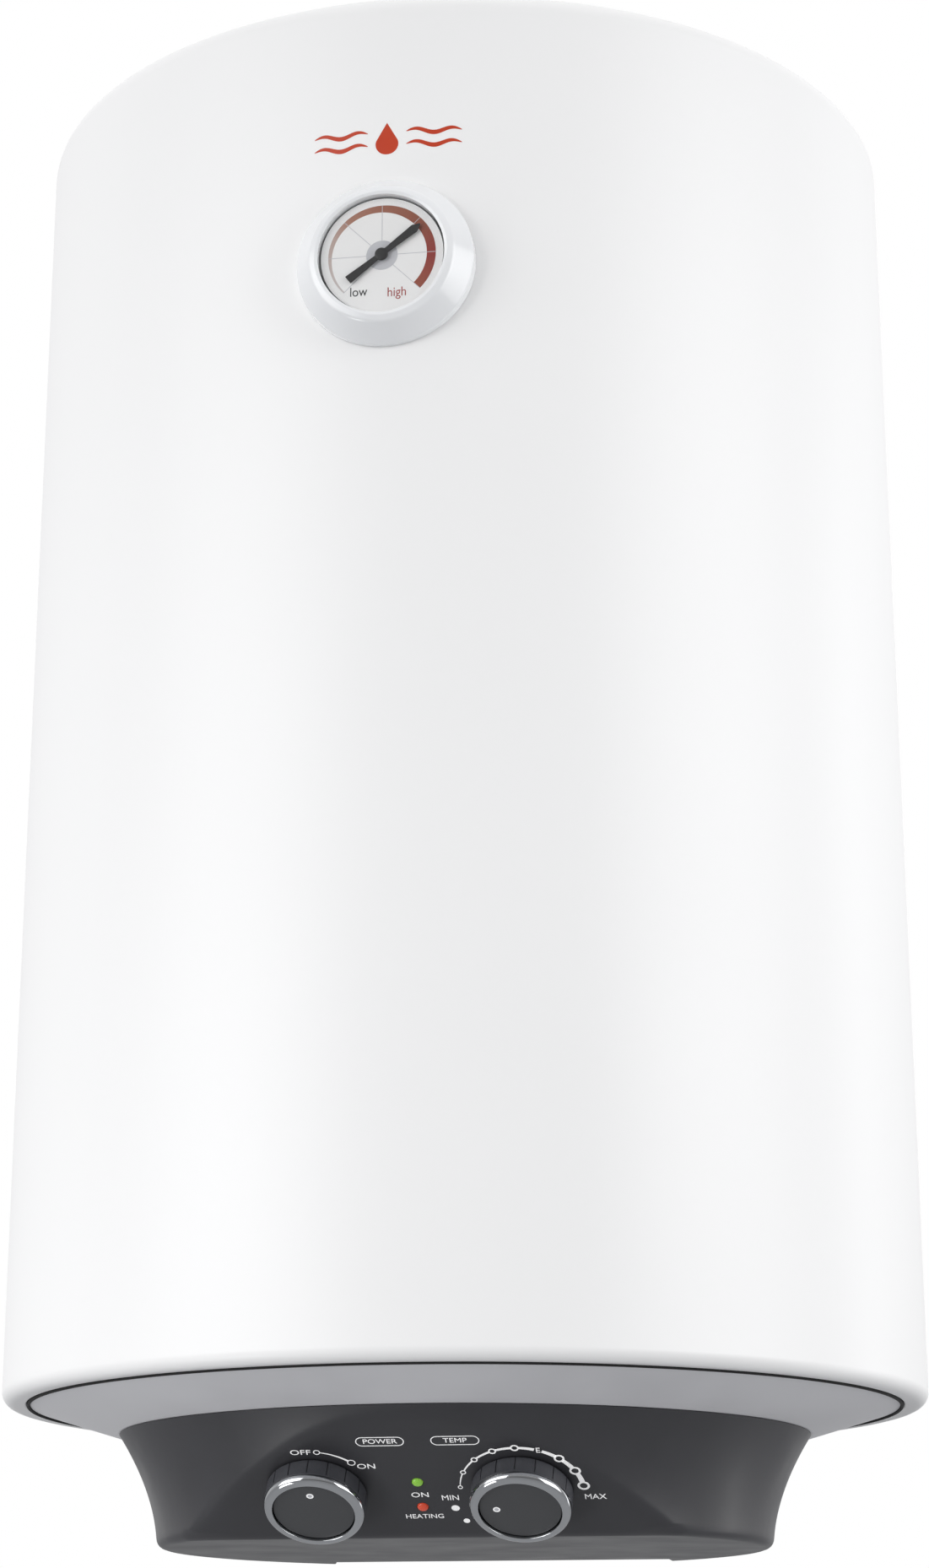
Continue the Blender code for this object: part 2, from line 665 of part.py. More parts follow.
def electrics(heater):
    floor = HOUSING_FLOOR + HOUSING_WALL + GAP
    terminals = solid("terminal_block", block(0.020, 0.062, 0.030, 0.052, floor, floor + 0.010),
                      BEIGE_PLASTIC, heater)
    ridge = block(0.022, 0.060, 0.036, 0.046, floor + 0.009, floor + 0.017)
    cut(terminals, "terminal_ridge", ridge, operation="UNION")
    gland = [(GLAND_BORE, -GLAND_INSIDE), (GLAND_R, -GLAND_INSIDE), (GLAND_R, GAP), (GLAND_HEAD_R, GAP),
             (GLAND_HEAD_R, GLAND_HEAD_T), (GLAND_R, GLAND_NOSE), (GLAND_BORE, GLAND_NOSE)]
    solid("cable_gland", lathe(gland, SMALL), BLACK_PLASTIC, heater, (0, NOTCH_Y, GLAND_Z), OUT_BACK)


# ---- Controls on the inclined panel --------------------------------------------------------
def knob_set(name, x, panel, body_name, body_size, body_depth):
    """A knob with its chrome ring, face and shaft on one axis, and the switch body behind."""
    axis = frame(f"{name}_axis", panel, (x, KNOB_UP, 0))
    bore = SHAFT_R + GAP
    boss = bore + KNOB_BOSS_WALL
    skirt = KNOB_R - KNOB_WALL
    plate_low = KNOB_H - KNOB_PLATE
    shell = [(bore, KNOB_H / 4), (boss, KNOB_H / 4), (boss, plate_low), (skirt, plate_low),
             (skirt, KNOB_LIFT), (KNOB_R, KNOB_LIFT), (KNOB_R, KNOB_H), (bore, KNOB_H)]
    solid(f"{name}_knob", lathe(shell, MIDDLING), DARK_PLASTIC, axis)
    low = KNOB_H + GAP
    rise = KNOB_RING_H / KNOB_BEVEL
    bevel = [(r, low + z * rise) for r, z in arc((KNOB_R - KNOB_BEVEL, 0), KNOB_BEVEL, 0, 90, 3)]
    inner = KNOB_R - KNOB_RING_W
    ring = [(inner, low)] + bevel + [(inner, low + KNOB_RING_H)]
    solid(f"{name}_knob_ring", lathe(ring, MIDDLING), CHROME, axis)
    face = peg(KNOB_R - KNOB_RING_W - GAP, low, low + KNOB_FACE_T, MIDDLING)
    solid(f"{name}_knob_face", face, BLACK_PLASTIC, axis)
    shaft_low = SWITCH_TOP - body_depth / 2
    solid(f"{name}_shaft", peg(SHAFT_R, shaft_low, KNOB_H - GAP), ZINC, axis)
    half = body_size / 2
    body = solid(body_name, block(-half, half, -half, half, SWITCH_TOP - body_depth, SWITCH_TOP),
                 BEIGE_PLASTIC, axis)
    cut(body, f"{body_name}_bore", peg(SHAFT_R + FIT, shaft_low - GAP, DRILL))


def lamps(panel):
    """Two lamp lenses held from behind by their flanges, and the board that lights them."""
    flange_r = LAMP_R + LAMP_FLANGE
    flange_low = SWITCH_TOP - LAMP_FLANGE_T
    lens = [(0, LAMP_R / 2), (LAMP_R * 0.7, LAMP_R / 3), (LAMP_R, 0), (LAMP_R, SWITCH_TOP),
            (flange_r, SWITCH_TOP), (flange_r, flange_low), (0, flange_low)]
    solid("green_lamp_lens", lathe(lens, SMALL), ("7FB03F", 0.25), panel, (0, GREEN_UP, 0))
    solid("red_lamp_lens", lathe(lens, SMALL), ("D0452F", 0.25), panel, (0, RED_UP, 0))
    top = flange_low - GAP
    board = block(-BOARD_HALF, BOARD_HALF, RED_UP - BOARD_MARGIN, GREEN_UP + BOARD_MARGIN, top - BOARD_T, top)
    solid("lamp_board", board, ("2E6B45", 0.5), panel)


# ---- Thermometer ---------------------------------------------------------------------------
def pointer_outline():
    """A tapered needle with a round hub, turned from straight up to where it rests."""
    reach = math.degrees(math.acos(POINTER_WAIST / POINTER_HUB_R))
    right = [(POINTER_POINT, POINTER_TIP), (POINTER_HALF, POINTER_TIP * 0.8)]
    right += arc((0, 0), POINTER_HUB_R, reach, -reach, 4) + [(POINTER_HALF, -POINTER_TAIL)]
    left = [(-x, y) for x, y in reversed(right)]
    turn = Matrix.Rotation(-POINTER_REST, 2)
    return [tuple(turn @ Vector(p)) for p in right + left]


def spiral_outline(inner, outer):
    """A flat spiral strip between two radii, out along one face and back along the other."""
    steps = round(COIL_TURNS * 12)

    def side(offset):
        places = []
        for i in range(steps + 1):
            angle = math.tau * COIL_TURNS * i / steps
            radius = inner + (outer - inner) * i / steps + offset
            places.append((radius * math.cos(angle), radius * math.sin(angle)))
        return places

    return side(COIL_STRIP / 2) + side(-COIL_STRIP / 2)[::-1]


def gauge_front(heater, gauge):
    """The bezel, whose back is cut to the casing's round, and the lens inside it."""
    inner = DIAL_R + 2 * GAP
    outline = [(inner, -BEZEL_SKIRT), (BEZEL_R, -BEZEL_SKIRT), (BEZEL_R, BEZEL_H / 4),
               (BEZEL_R - 0.002, BEZEL_H * 0.42), (inner + 0.003, BEZEL_H - 0.0005),
               (inner + 0.0015, BEZEL_H), (inner, BEZEL_H - 0.0012)]
    bezel = solid("gauge_bezel", lathe(outline, MIDDLING + SMALL), WHITE_PLASTIC, gauge)
    drum = peg(BODY_R + GAP, GAUGE_Z - BEZEL_R - DRILL, GAUGE_Z + BEZEL_R + DRILL, AROUND)
    cut(bezel, "bezel_saddle", drum, parent=heater)
    lens_top = BEZEL_H - LENS_SINK
    solid("gauge_lens", peg(DIAL_R, lens_top - LENS_T, lens_top, MIDDLING), ("DDE3E6", 0.05), gauge)


def gauge_works(gauge):
    """The case with its bimetal coil, the dial on its rim, and the pointer on its spindle."""
    bottom = TANK_R - BODY_R + 2 * GAP
    inside = bottom + GAUGE_CASE_WALL
    inner = GAUGE_CASE_R - GAUGE_CASE_WALL
    cup = [(0, bottom), (GAUGE_CASE_R, bottom), (GAUGE_CASE_R, 2 * GAP), (DIAL_R, 2 * GAP),
           (DIAL_R, DIAL_SEAT), (inner, DIAL_SEAT), (inner, inside), (0, inside)]
    solid("gauge_case", lathe(cup, MIDDLING), BLACK_PLASTIC, gauge)
    low = DIAL_SEAT + GAP
    high = low + DIAL_T
    solid("gauge_dial", washer(SPINDLE_R + FIT, DIAL_R, low, high), ("F7F7F5", 0.35), gauge)
    needle = high + POINTER_LIFT
    solid("gauge_spindle", peg(SPINDLE_R, inside + GAP, needle - GAP, 8), ZINC, gauge)
    solid("gauge_pointer", prism(pointer_outline(), needle, needle + POINTER_T), BLACK_PLASTIC, gauge)
    half = COIL_STRIP / 2
    coil = spiral_outline(SPINDLE_R + GAP + half, inner - 2 * GAP - half)
    solid("bimetal_coil", prism(coil, inside + COIL_H / 2, inside + COIL_H * 1.5),
          ("A98F5A", 0.35, 1.0), gauge)


# ---- Hanging on the wall -------------------------------------------------------------------
def bracket_half():
    """The right half of the bracket's outline seen from above: plate, leg and tangent foot."""
    normal = Vector((math.sin(FOOT_ANGLE), math.cos(FOOT_ANGLE)))
    along = Vector((math.cos(FOOT_ANGLE), -math.sin(FOOT_ANGLE)))
    inner_face = BODY_R + GAP
    outer_face = inner_face + BRACKET_T
    front = WALL_Y - BRACKET_T
    inner_end = inner_face * normal - FOOT_HALF * along
    outer_end = inner_face * normal + FOOT_HALF * along
    leg_x = inner_end.x + BRACKET_T
    reach = (leg_x - outer_face * normal.x) / along.x
    crook = outer_face * normal + reach * along
    return [
        (BRACKET_W / 2, WALL_Y),
        (BRACKET_W / 2, front),
        (leg_x, front),
        tuple(crook),
        tuple(outer_face * normal + FOOT_HALF * along),
        tuple(outer_end),
        tuple(inner_end),
        (inner_end.x, front),
    ]


def keyhole():
    """A hook slot in the XZ plane: a round head below and a narrow slot above it."""
    turn = math.degrees(math.acos(SLOT_R / SLOT_HEAD_R))
    low = -SLOT_DROP / 2
    head = arc((0, low), SLOT_HEAD_R, turn, -180 - turn, 12)
    return head + arc((0, -low), SLOT_R, 180, 0, 6)


def wall_bracket(heater, casing):
    """The bracket, bolted through the casing into two blocks welded to the tank."""
    right = bracket_half()
    outline = right + [(-x, y) for x, y in reversed(right)]
    low, high = HANG_HEIGHT - BRACKET_H / 2, HANG_HEIGHT + BRACKET_H / 2
    bracket = solid("wall_bracket", prism(outline, low, high), ZINC, heater)
    for side, x in (("left", -SLOT_X), ("right", SLOT_X)):
        cut(bracket, f"bracket_slot_{side}", prism(keyhole(), -DRILL / 2, DRILL / 2),
            (x, WALL_Y, HANG_HEIGHT), OUT_FRONT)
    seat = -(BODY_R + GAP + BRACKET_T)
    near = TANK_R + GAP
    far = CASING_IN * math.cos(math.pi / AROUND) - 3 * GAP
    tip = -(near + far) / 2
    for side, angle in FEET:
        foot = frame(f"foot_axis_{side}", heater, (0, 0, HANG_HEIGHT), (0, 0, angle))
        hanger = solid(f"hanger_block_{side}",
                       block(-BLOCK_HALF, BLOCK_HALF, near, far, -BLOCK_HALF_H, BLOCK_HALF_H),
                       STEEL, foot)
        for level, height in (("lower", -BRACKET_BOLT_UP), ("upper", BRACKET_BOLT_UP)):
            bolt = f"bracket_bolt_{side}_{level}"
            hole = cut(bracket, f"{bolt}_hole", peg(BOLT_R + FIT, seat - DRILL, tip + FIT),
                       (0, 0, height), OUT_FRONT, foot)
            use_cutter(casing, hole)
            use_cutter(hanger, hole)
            hex_bolt(bolt, seat - GAP, tip, foot, (0, 0, height), OUT_FRONT)


def lower_rest(heater):
    """A block that keeps the drum's lower end the same distance from the wall."""
    reach = math.degrees(math.asin(REST_HALF / (BODY_R + GAP)))
    outline = arc((0, 0), BODY_R + GAP, 90 + reach, 90 - reach, 4)
    outline += [(REST_HALF, WALL_Y), (-REST_HALF, WALL_Y)]
    solid("lower_wall_rest", prism(outline, REST_Z - REST_H / 2, REST_Z + REST_H / 2),
          RUBBER, heater)


def build():
    clear_scene()
    heater = frame("heater", None, (0, -WALL_Y, -HANG_HEIGHT))
    panel = frame("panel", heater, (0, -PANEL_CHORD_Y, HOUSING_FLOOR), (math.pi / 2 + PANEL_TILT, 0, 0))
    casing = outer_casing(heater)
    top_cover(heater)
    insulation_foam(heater)
    inner_tank(heater)
    flange(heater)
    heating_element(heater)
    anode(heater)
    thermostat_pocket(heater)
    bottom_cover(heater)
    control_housing(heater, panel)
    housing_screws(heater)
    pipes(heater)
    electrics(heater)
    knob_set("power", -KNOB_X, panel, "power_switch", SWITCH_SIZE, SWITCH_DEPTH)
    knob_set("temperature", KNOB_X, panel, "thermostat", THERMOSTAT_SIZE, THERMOSTAT_DEPTH)
    lamps(panel)
    gauge = frame("gauge_axis", heater, (0, -BODY_R, GAUGE_Z), OUT_FRONT)
    gauge_front(heater, gauge)
    gauge_works(gauge)
    wall_bracket(heater, casing)
    lower_rest(heater)


build()
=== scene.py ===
"""Looks of a wall-hung electric storage water heater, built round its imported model."""

import json
import math

import bmesh
import bpy
from mathutils import Matrix, Vector


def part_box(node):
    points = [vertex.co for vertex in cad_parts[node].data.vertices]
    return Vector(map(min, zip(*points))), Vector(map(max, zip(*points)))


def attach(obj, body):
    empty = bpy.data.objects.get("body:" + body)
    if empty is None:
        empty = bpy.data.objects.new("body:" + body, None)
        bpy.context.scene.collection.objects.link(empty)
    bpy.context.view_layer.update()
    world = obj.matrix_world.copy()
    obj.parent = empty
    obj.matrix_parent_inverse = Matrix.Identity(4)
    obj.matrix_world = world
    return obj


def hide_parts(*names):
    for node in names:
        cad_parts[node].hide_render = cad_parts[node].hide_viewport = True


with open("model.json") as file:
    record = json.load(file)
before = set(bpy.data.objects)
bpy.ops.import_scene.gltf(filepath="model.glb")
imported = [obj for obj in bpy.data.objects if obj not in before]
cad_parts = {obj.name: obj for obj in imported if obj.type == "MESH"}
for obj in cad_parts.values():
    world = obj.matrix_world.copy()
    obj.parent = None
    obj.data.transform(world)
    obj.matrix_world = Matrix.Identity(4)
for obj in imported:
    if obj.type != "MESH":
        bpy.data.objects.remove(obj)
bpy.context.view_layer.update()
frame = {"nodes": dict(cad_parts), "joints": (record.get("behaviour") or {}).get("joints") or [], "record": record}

MM = 0.001
ON_AXIS = 1e-7  # a radius below this is a point on the axis
CREASE = math.radians(35)  # edges sharper than this stay crisp
INK_LOW = -0.02 * MM  # printed ink starts just below its surface
INK_HIGH = 0.05 * MM  # and stands this far above it
ROUND = 192  # facets round the drum
TURNED = 96  # facets round knobs, rims and dials
SMALL = 48  # facets round pipes, lamps and bolts


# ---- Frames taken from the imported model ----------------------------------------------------
def joint(name):
    """A joint's place and axis."""
    found = next(j for j in frame["joints"] if j["name"] == name)
    return Vector(found["pos_m"]), Vector(found["axis"])


def facing(origin, normal):
    """A frame with local Z along the normal, local X to the right and local Y up."""
    across = Vector((1, 0, 0))
    axes = Matrix((across, normal.cross(across), normal)).transposed().to_4x4()
    return Matrix.Translation(origin) @ axes


def reach(node, at):
    """A CAD node's lowest and highest point along a frame's Z, and its largest radius from it."""
    back = at.inverted()
    points = [back @ v.co for v in frame["nodes"][node].data.vertices]
    heights = [p.z for p in points]
    return min(heights), max(heights), max(p.xy.length for p in points)


drum_low, drum_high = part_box("outer_casing")
HEATER = Matrix.Translation((0, (drum_low.y + drum_high.y) / 2, drum_low.z))
DRUM_R = (drum_high.x - drum_low.x) / 2
DRUM_H = drum_high.z - drum_low.z

power_spot, knob_axis = joint("power_knob_turn")
temperature_spot, _ = joint("temperature_knob_turn")
gauge_spot, gauge_axis = joint("gauge_pointer_turn")
PANEL = facing((power_spot + temperature_spot) / 2, -knob_axis)  # midway between the knobs
GAUGE = facing(gauge_spot, -gauge_axis)  # on the casing's face
KNOB_X = (temperature_spot.x - power_spot.x) / 2
GAUGE_UP = (HEATER.inverted() @ gauge_spot).z


# ---- Shapes --------------------------------------------------------------------------------
def skin(rows, loop=False):
    """Rings of points joined row to row, and with loop the last row to the first.

    A row of one point is a pole."""
    shape = bmesh.new()
    made = [[shape.verts.new(point) for point in row] for row in rows]
    pairs = list(zip(made, made[1:]))
    if loop:
        pairs.append((made[-1], made[0]))
    for row, after in pairs:
        for i in range(max(len(row), len(after))):
            corners = [row[i % len(row)], row[(i + 1) % len(row)]]
            corners += [after[(i + 1) % len(after)], after[i % len(after)]]
            corners = list(dict.fromkeys(corners))
            if len(corners) > 2:
                shape.faces.new(corners)
    bmesh.ops.recalc_face_normals(shape, faces=shape.faces)
    return shape


def closed(rows):
    """Four-cornered sections joined row to row, with both ends closed to their middles."""
    def middle(row):
        return [tuple(sum(point[axis] for point in row) / 4 for axis in range(3))]

    return skin([middle(rows[0])] + rows + [middle(rows[-1])])


def ring(radius, height, facets):
    """A level ring of points, or the single point that it shrinks to on the axis."""
    if radius < ON_AXIS:
        return [(0, 0, height)]
    turns = [math.tau * i / facets for i in range(facets)]
    return [(radius * math.cos(a), radius * math.sin(a), height) for a in turns]


def turned(outline, facets=TURNED):
    """Turns a closed (radius, height) outline about Z."""
    return skin([ring(r, z, facets) for r, z in outline], loop=True)


def eased(corners, steps=5):
    """An outline with some corners rounded: each corner is (x, y) or (x, y, radius)."""
    points = []
    for i, (x, y, *radius) in enumerate(corners):
        here = Vector((x, y))
        if not radius:
            points.append((x, y))
            continue
        before = (Vector(corners[i - 1][:2]) - here).normalized()
        after = (Vector(corners[(i + 1) % len(corners)][:2]) - here).normalized()
        half = before.angle(after) / 2
        cut = radius[0] / math.tan(half)
        centre = here + (before + after).normalized() * radius[0] / math.sin(half)
        start = here + before * cut - centre
        end = here + after * cut - centre
        sweep = start.angle(end)
        for step in range(steps + 1):
            share = step / steps
            spoke = start * math.sin((1 - share) * sweep) + end * math.sin(share * sweep)
            points.append(tuple(centre + spoke / math.sin(sweep)))
    return points


def arc(radius, start, end, steps, centre=(0, 0)):
    """Points on a round line; angles in degrees, anticlockwise from the right."""
    turns = [math.radians(start + (end - start) * i / steps) for i in range(steps + 1)]
    return [(centre[0] + radius * math.cos(a), centre[1] + radius * math.sin(a)) for a in turns]


def slab(outline, low, high):
    """A plate of this outline between two heights."""
    shape = bmesh.new()
    floor = shape.faces.new([shape.verts.new((x, y, low)) for x, y in outline])
    grown = bmesh.ops.extrude_face_region(shape, geom=[floor])["geom"]
    raised = [v for v in grown if isinstance(v, bmesh.types.BMVert)]
    bmesh.ops.translate(shape, verts=raised, vec=(0, 0, high - low))
    bmesh.ops.recalc_face_normals(shape, faces=shape.faces)
    return shape


def box(x0, x1, y0, y1, z0, z1):
    """A block between two corners, to cut or join with."""
    return slab([(x0, y0), (x1, y0), (x1, y1), (x0, y1)], z0, z1)


def peg(radius, low, high, centre=(0, 0), facets=SMALL):
    """A round bar along Z."""
    return slab(arc(radius, 0, 360 - 360 / facets, facets - 1, centre), low, high)


def together(shapes):
    """Several shapes as one."""
    whole = bmesh.new()
    for shape in shapes:
        mesh = bpy.data.meshes.new("part")
        shape.to_mesh(mesh)
        shape.free()
        whole.from_mesh(mesh)
        bpy.data.meshes.remove(mesh)
    return whole


def moved(shape, place):
    """The same shape, put somewhere else."""
    shape.transform(place)
    return shape


def loose(name, shape, at=Matrix.Identity(4)):
    """An object from a shape, its place in its mesh."""
    shape.transform(at)
    mesh = bpy.data.meshes.new(name)
    shape.to_mesh(mesh)
    shape.free()
    thing = bpy.data.objects.new(name, mesh)
    bpy.context.scene.collection.objects.link(thing)
    return thing


def settle(thing):
    """Turns an object's modifiers into a plain mesh and takes them off."""
    graph = bpy.context.evaluated_depsgraph_get()
    graph.update()
    mesh = bpy.data.meshes.new_from_object(thing.evaluated_get(graph), depsgraph=graph)
    thing.modifiers.clear()
    thing.data = mesh
    return thing


def discard(thing):
    """Takes an object out of the scene."""
    bpy.data.objects.remove(thing, do_unlink=True)


def carve(thing, shape, operation="DIFFERENCE"):
    """Cuts a shape out of an object, or joins it on."""
    tool = loose("tool", shape)
    boolean = thing.modifiers.new("carve", "BOOLEAN")
    boolean.operation = operation
    boolean.object = tool
    settle(thing)
    discard(tool)


def shade(thing):
    """Smooth shading that keeps flats flat and creases crisp."""
    thing.data.shade_smooth()
    thing.data.set_sharp_from_angle(angle=CREASE)
    thing.modifiers.new("shading", "WEIGHTED_NORMAL").keep_sharp = True
    settle(thing)


def mounted(thing, finish, body="heater", stands_for=()):
    """Gives an object its shading, its finish and the body that carries it."""
    shade(thing)
    thing.data.materials.clear()
    thing.data.materials.append(finish)
    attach(thing, body)
    if stands_for:
        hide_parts(*stands_for)
    return thing


def piece(name, shape, finish, at=HEATER, body="heater", stands_for=(), ease=0):
    """A finished piece from a shape in its own frame, with its edges eased by a radius."""
    thing = loose(name, shape, at)
    if ease:
        bevel = thing.modifiers.new("ease", "BEVEL")
        bevel.width = ease
        bevel.segments = 2
        bevel.limit_method = "ANGLE"
        bevel.angle_limit = CREASE
        settle(thing)
    return mounted(thing, finish, body, stands_for)


# ---- Geometry Nodes: one small shape repeated round an axis ---------------------------------
def add(tree, kind, inputs=None, **settings):
    """Adds a node with its settings; an input takes a value or another node's socket."""
    node = tree.nodes.new(kind)
    for name, value in settings.items():
        setattr(node, name, value)
    for socket, value in (inputs or {}).items():
        if isinstance(value, bpy.types.NodeSocket):
            tree.links.new(value, node.inputs[socket])
        else:
            node.inputs[socket].default_value = value
    return node


def ring_tree():
    """Repeats the object's own shape round Z.

    There are Count of them, the first turned by First and the rest Step apart, and they grow
    evenly from their own size to Last Size."""
    tree = bpy.data.node_groups.new("repeat_round_axis", "GeometryNodeTree")
    face = tree.interface
    face.new_socket("Geometry", in_out="INPUT", socket_type="NodeSocketGeometry")
    for name, kind in (("Count", "Int"), ("Radius", "Float"), ("First", "Float"), ("Step", "Float"),
                       ("Last Size", "Float"), ("Finish", "Material")):
        face.new_socket(name, in_out="INPUT", socket_type=f"NodeSocket{kind}")
    face.new_socket("Geometry", in_out="OUTPUT", socket_type="NodeSocketGeometry")
    given = add(tree, "NodeGroupInput").outputs
    number = add(tree, "GeometryNodeInputIndex").outputs[0]
    step = add(tree, "ShaderNodeMath", {0: number, 1: given["Step"]}, operation="MULTIPLY")
    turn = add(tree, "ShaderNodeMath", {0: step.outputs[0], 1: given["First"]})
    last = add(tree, "ShaderNodeMath", {0: given["Count"], 1: 1.0}, operation="SUBTRACT")
    share = add(tree, "ShaderNodeMath", {0: number, 1: last.outputs[0]}, operation="DIVIDE")
    size = add(tree, "ShaderNodeMapRange",
               {"Value": share.outputs[0], "To Min": 1.0, "To Max": given["Last Size"]})
    out = add(tree, "ShaderNodeCombineXYZ", {"X": given["Radius"]})
    spin = add(tree, "ShaderNodeCombineXYZ", {"Z": turn.outputs[0]})
    place = add(tree, "ShaderNodeVectorRotate", {"Vector": out.outputs[0], "Angle": turn.outputs[0]},
                rotation_type="Z_AXIS")
    dots = add(tree, "GeometryNodeMeshLine", {"Count": given["Count"]})
    spread = add(tree, "GeometryNodeSetPosition", {"Geometry": dots.outputs[0], "Position": place.outputs[0]})
    copies = add(tree, "GeometryNodeInstanceOnPoints",
                 {"Points": spread.outputs[0], "Instance": given["Geometry"],
                  "Rotation": spin.outputs[0], "Scale": size.outputs[0]})
    real = add(tree, "GeometryNodeRealizeInstances", {0: copies.outputs[0]})
    painted = add(tree, "GeometryNodeSetMaterial", {"Geometry": real.outputs[0], "Material": given["Finish"]})
    add(tree, "NodeGroupOutput", {0: painted.outputs[0]})
    return tree


RING_TREE = ring_tree()


def repeated(shape, count, radius, first, step, finish=None, last_size=1.0):
    """A shape that points along X, repeated round Z at a radius; angles in degrees.

    A shape that only cuts takes no finish."""
    thing = loose("item", shape)
    maker = thing.modifiers.new("repeat", "NODES")
    maker.node_group = RING_TREE
    values = {"Count": count, "Radius": radius, "First": math.radians(first),
              "Step": math.radians(step), "Last Size": last_size, "Finish": finish}
    for socket in RING_TREE.interface.items_tree:
        if socket.in_out == "INPUT" and socket.name in values:
            maker[socket.identifier] = values[socket.name]
    settle(thing)
    made = bmesh.new()
    made.from_mesh(thing.data)
    discard(thing)
    return made


# ---- Finishes ------------------------------------------------------------------------------
def colour(code):
    """An sRGB hex colour as the linear values that the shaders take."""
    channels = [int(code[i : i + 2], 16) / 255 for i in (0, 2, 4)]
    return (*[c / 12.92 if c <= 0.04045 else ((c + 0.055) / 1.055) ** 2.4 for c in channels], 1.0)


def surface(name, tones, roughness, patch, grain, relief, **fixed):
    """A finish in two close tones and two roughness values, with a fine grain in relief.

    The tones and the roughness drift in soft patches. patch and grain are their real sizes in
    metres, and relief is the grain's depth."""
    material = bpy.data.materials.new(name)
    material.use_nodes = True
    tree = material.node_tree
    shader = tree.nodes["Principled BSDF"]
    place = add(tree, "ShaderNodeTexCoord").outputs["Object"]
    clouds = add(tree, "ShaderNodeTexNoise", {"Vector": place, "Scale": 1 / patch, "Detail": 3.0})
    tone = add(tree, "ShaderNodeMix", {0: clouds.outputs[0], 6: colour(tones[0]), 7: colour(tones[1])},
               data_type="RGBA")
    dull = add(tree, "ShaderNodeMapRange",
               {"Value": clouds.outputs[0], "From Min": 0.3, "From Max": 0.7,
                "To Min": roughness[0], "To Max": roughness[1]})
    fine = add(tree, "ShaderNodeTexNoise", {"Vector": place, "Scale": 1 / grain, "Detail": 2.0})
    bump = add(tree, "ShaderNodeBump", {"Height": fine.outputs[0], "Distance": relief})
    tree.links.new(tone.outputs[2], shader.inputs["Base Color"])
    tree.links.new(dull.outputs[0], shader.inputs["Roughness"])
    tree.links.new(bump.outputs[0], shader.inputs["Normal"])
    for socket, value in fixed.items():
        shader.inputs[socket.replace("_", " ")].default_value = value
    return material


def stretched(material, along, across):
    """Stretches a finish's grain into lines along X, as rolling leaves them."""
    tree = material.node_tree
    place = next(n for n in tree.nodes if n.type == "TEX_COORD").outputs["Object"]
    fine = next(n for n in tree.nodes if n.type == "BUMP").inputs["Height"].links[0].from_node
    lines = add(tree, "ShaderNodeMapping", {"Vector": place, "Scale": (across / along, 1, 1)})
    tree.links.new(lines.outputs[0], fine.inputs["Vector"])
    return material


INK_GLOSS = (0.42, 0.5)  # roughness of a dried screen ink
SCALE_SHARE = "scale_share"  # the band's attribute: 0 at its cold end, 1 at its hot end


def scale_ink():
    """Screen ink on the dial's band: a tone for each share of the scale, pale grey through
    rust to deep red, with the same thin film as the other inks."""
    material = surface("screen_ink_heat_band", ("FFFFFF", "FFFFFF"), INK_GLOSS, 4 * MM, 0.3 * MM, 0.002 * MM)
    tree = material.node_tree
    share = add(tree, "ShaderNodeAttribute", attribute_name=SCALE_SHARE)
    ramp = add(tree, "ShaderNodeValToRGB", {"Fac": share.outputs["Fac"]})
    stops = ((0.0, "D6CFCE"), (0.25, "C4ACA3"), (0.36, "AE7A65"), (0.5, "A0634C"), (0.7, "94492F"),
             (0.84, "96241C"), (1.0, "9A4A32"))
    band = ramp.color_ramp
    band.elements[0].color = colour(stops[0][1])
    band.elements[1].position, band.elements[1].color = stops[-1][0], colour(stops[-1][1])
    for spot, code in stops[1:-1]:
        band.elements.new(spot).color = colour(code)
    tree.links.new(ramp.outputs[0], tree.nodes["Principled BSDF"].inputs["Base Color"])
    return material


def clear_acrylic():
    """Polished clear acrylic: lets the dial through and keeps a thin mirror of the lights on top."""
    material = bpy.data.materials.new("clear_acrylic_lens")
    material.use_nodes = True
    tree = material.node_tree
    tree.nodes.remove(tree.nodes["Principled BSDF"])
    place = add(tree, "ShaderNodeTexCoord").outputs["Object"]
    wipe = add(tree, "ShaderNodeTexNoise", {"Vector": place, "Scale": 1 / (9 * MM), "Detail": 4.0})
    haze = add(tree, "ShaderNodeMapRange", {"Value": wipe.outputs[0], "To Min": 0.01, "To Max": 0.05})
    mirror = add(tree, "ShaderNodeBsdfGlossy", {"Roughness": haze.outputs[0]})
    through = add(tree, "ShaderNodeBsdfTransparent", {"Color": (0.995, 0.995, 0.995, 1.0)})
    slant = add(tree, "ShaderNodeLayerWeight", {"Blend": 0.5}).outputs["Facing"]
    steep = add(tree, "ShaderNodeMath", {0: slant, 1: 4.0}, operation="POWER")
    edge = add(tree, "ShaderNodeMapRange", {"Value": steep.outputs[0], "To Min": 0.04, "To Max": 0.7})
    mix = add(tree, "ShaderNodeMixShader", {0: edge.outputs[0], 1: through.outputs[0], 2: mirror.outputs[0]})
    tree.links.new(mix.outputs[0], tree.nodes["Material Output"].inputs["Surface"])
    return material


def lamp_lens(name, tones, glow):
    """Tinted polycarbonate lamp lens, polished: the colour carries even unlit, with a small highlight."""
    return surface(name, tones, (0.18, 0.26), 2 * MM, 0.6 * MM, 0.004 * MM,
                   Subsurface_Weight=0.25, Emission_Color=colour(glow), Emission_Strength=0.35)


# Stove-enamelled sheet steel, sprayed and baked: bright white with a faint orange-peel ripple.
LACQUER = surface("stove_enamel_white_gloss", ("F7F7F7", "F8F8F8"), (0.38, 0.42), 120 * MM, 3.5 * MM,
                  0.006 * MM, Coat_Weight=0.12, Coat_Roughness=0.3)
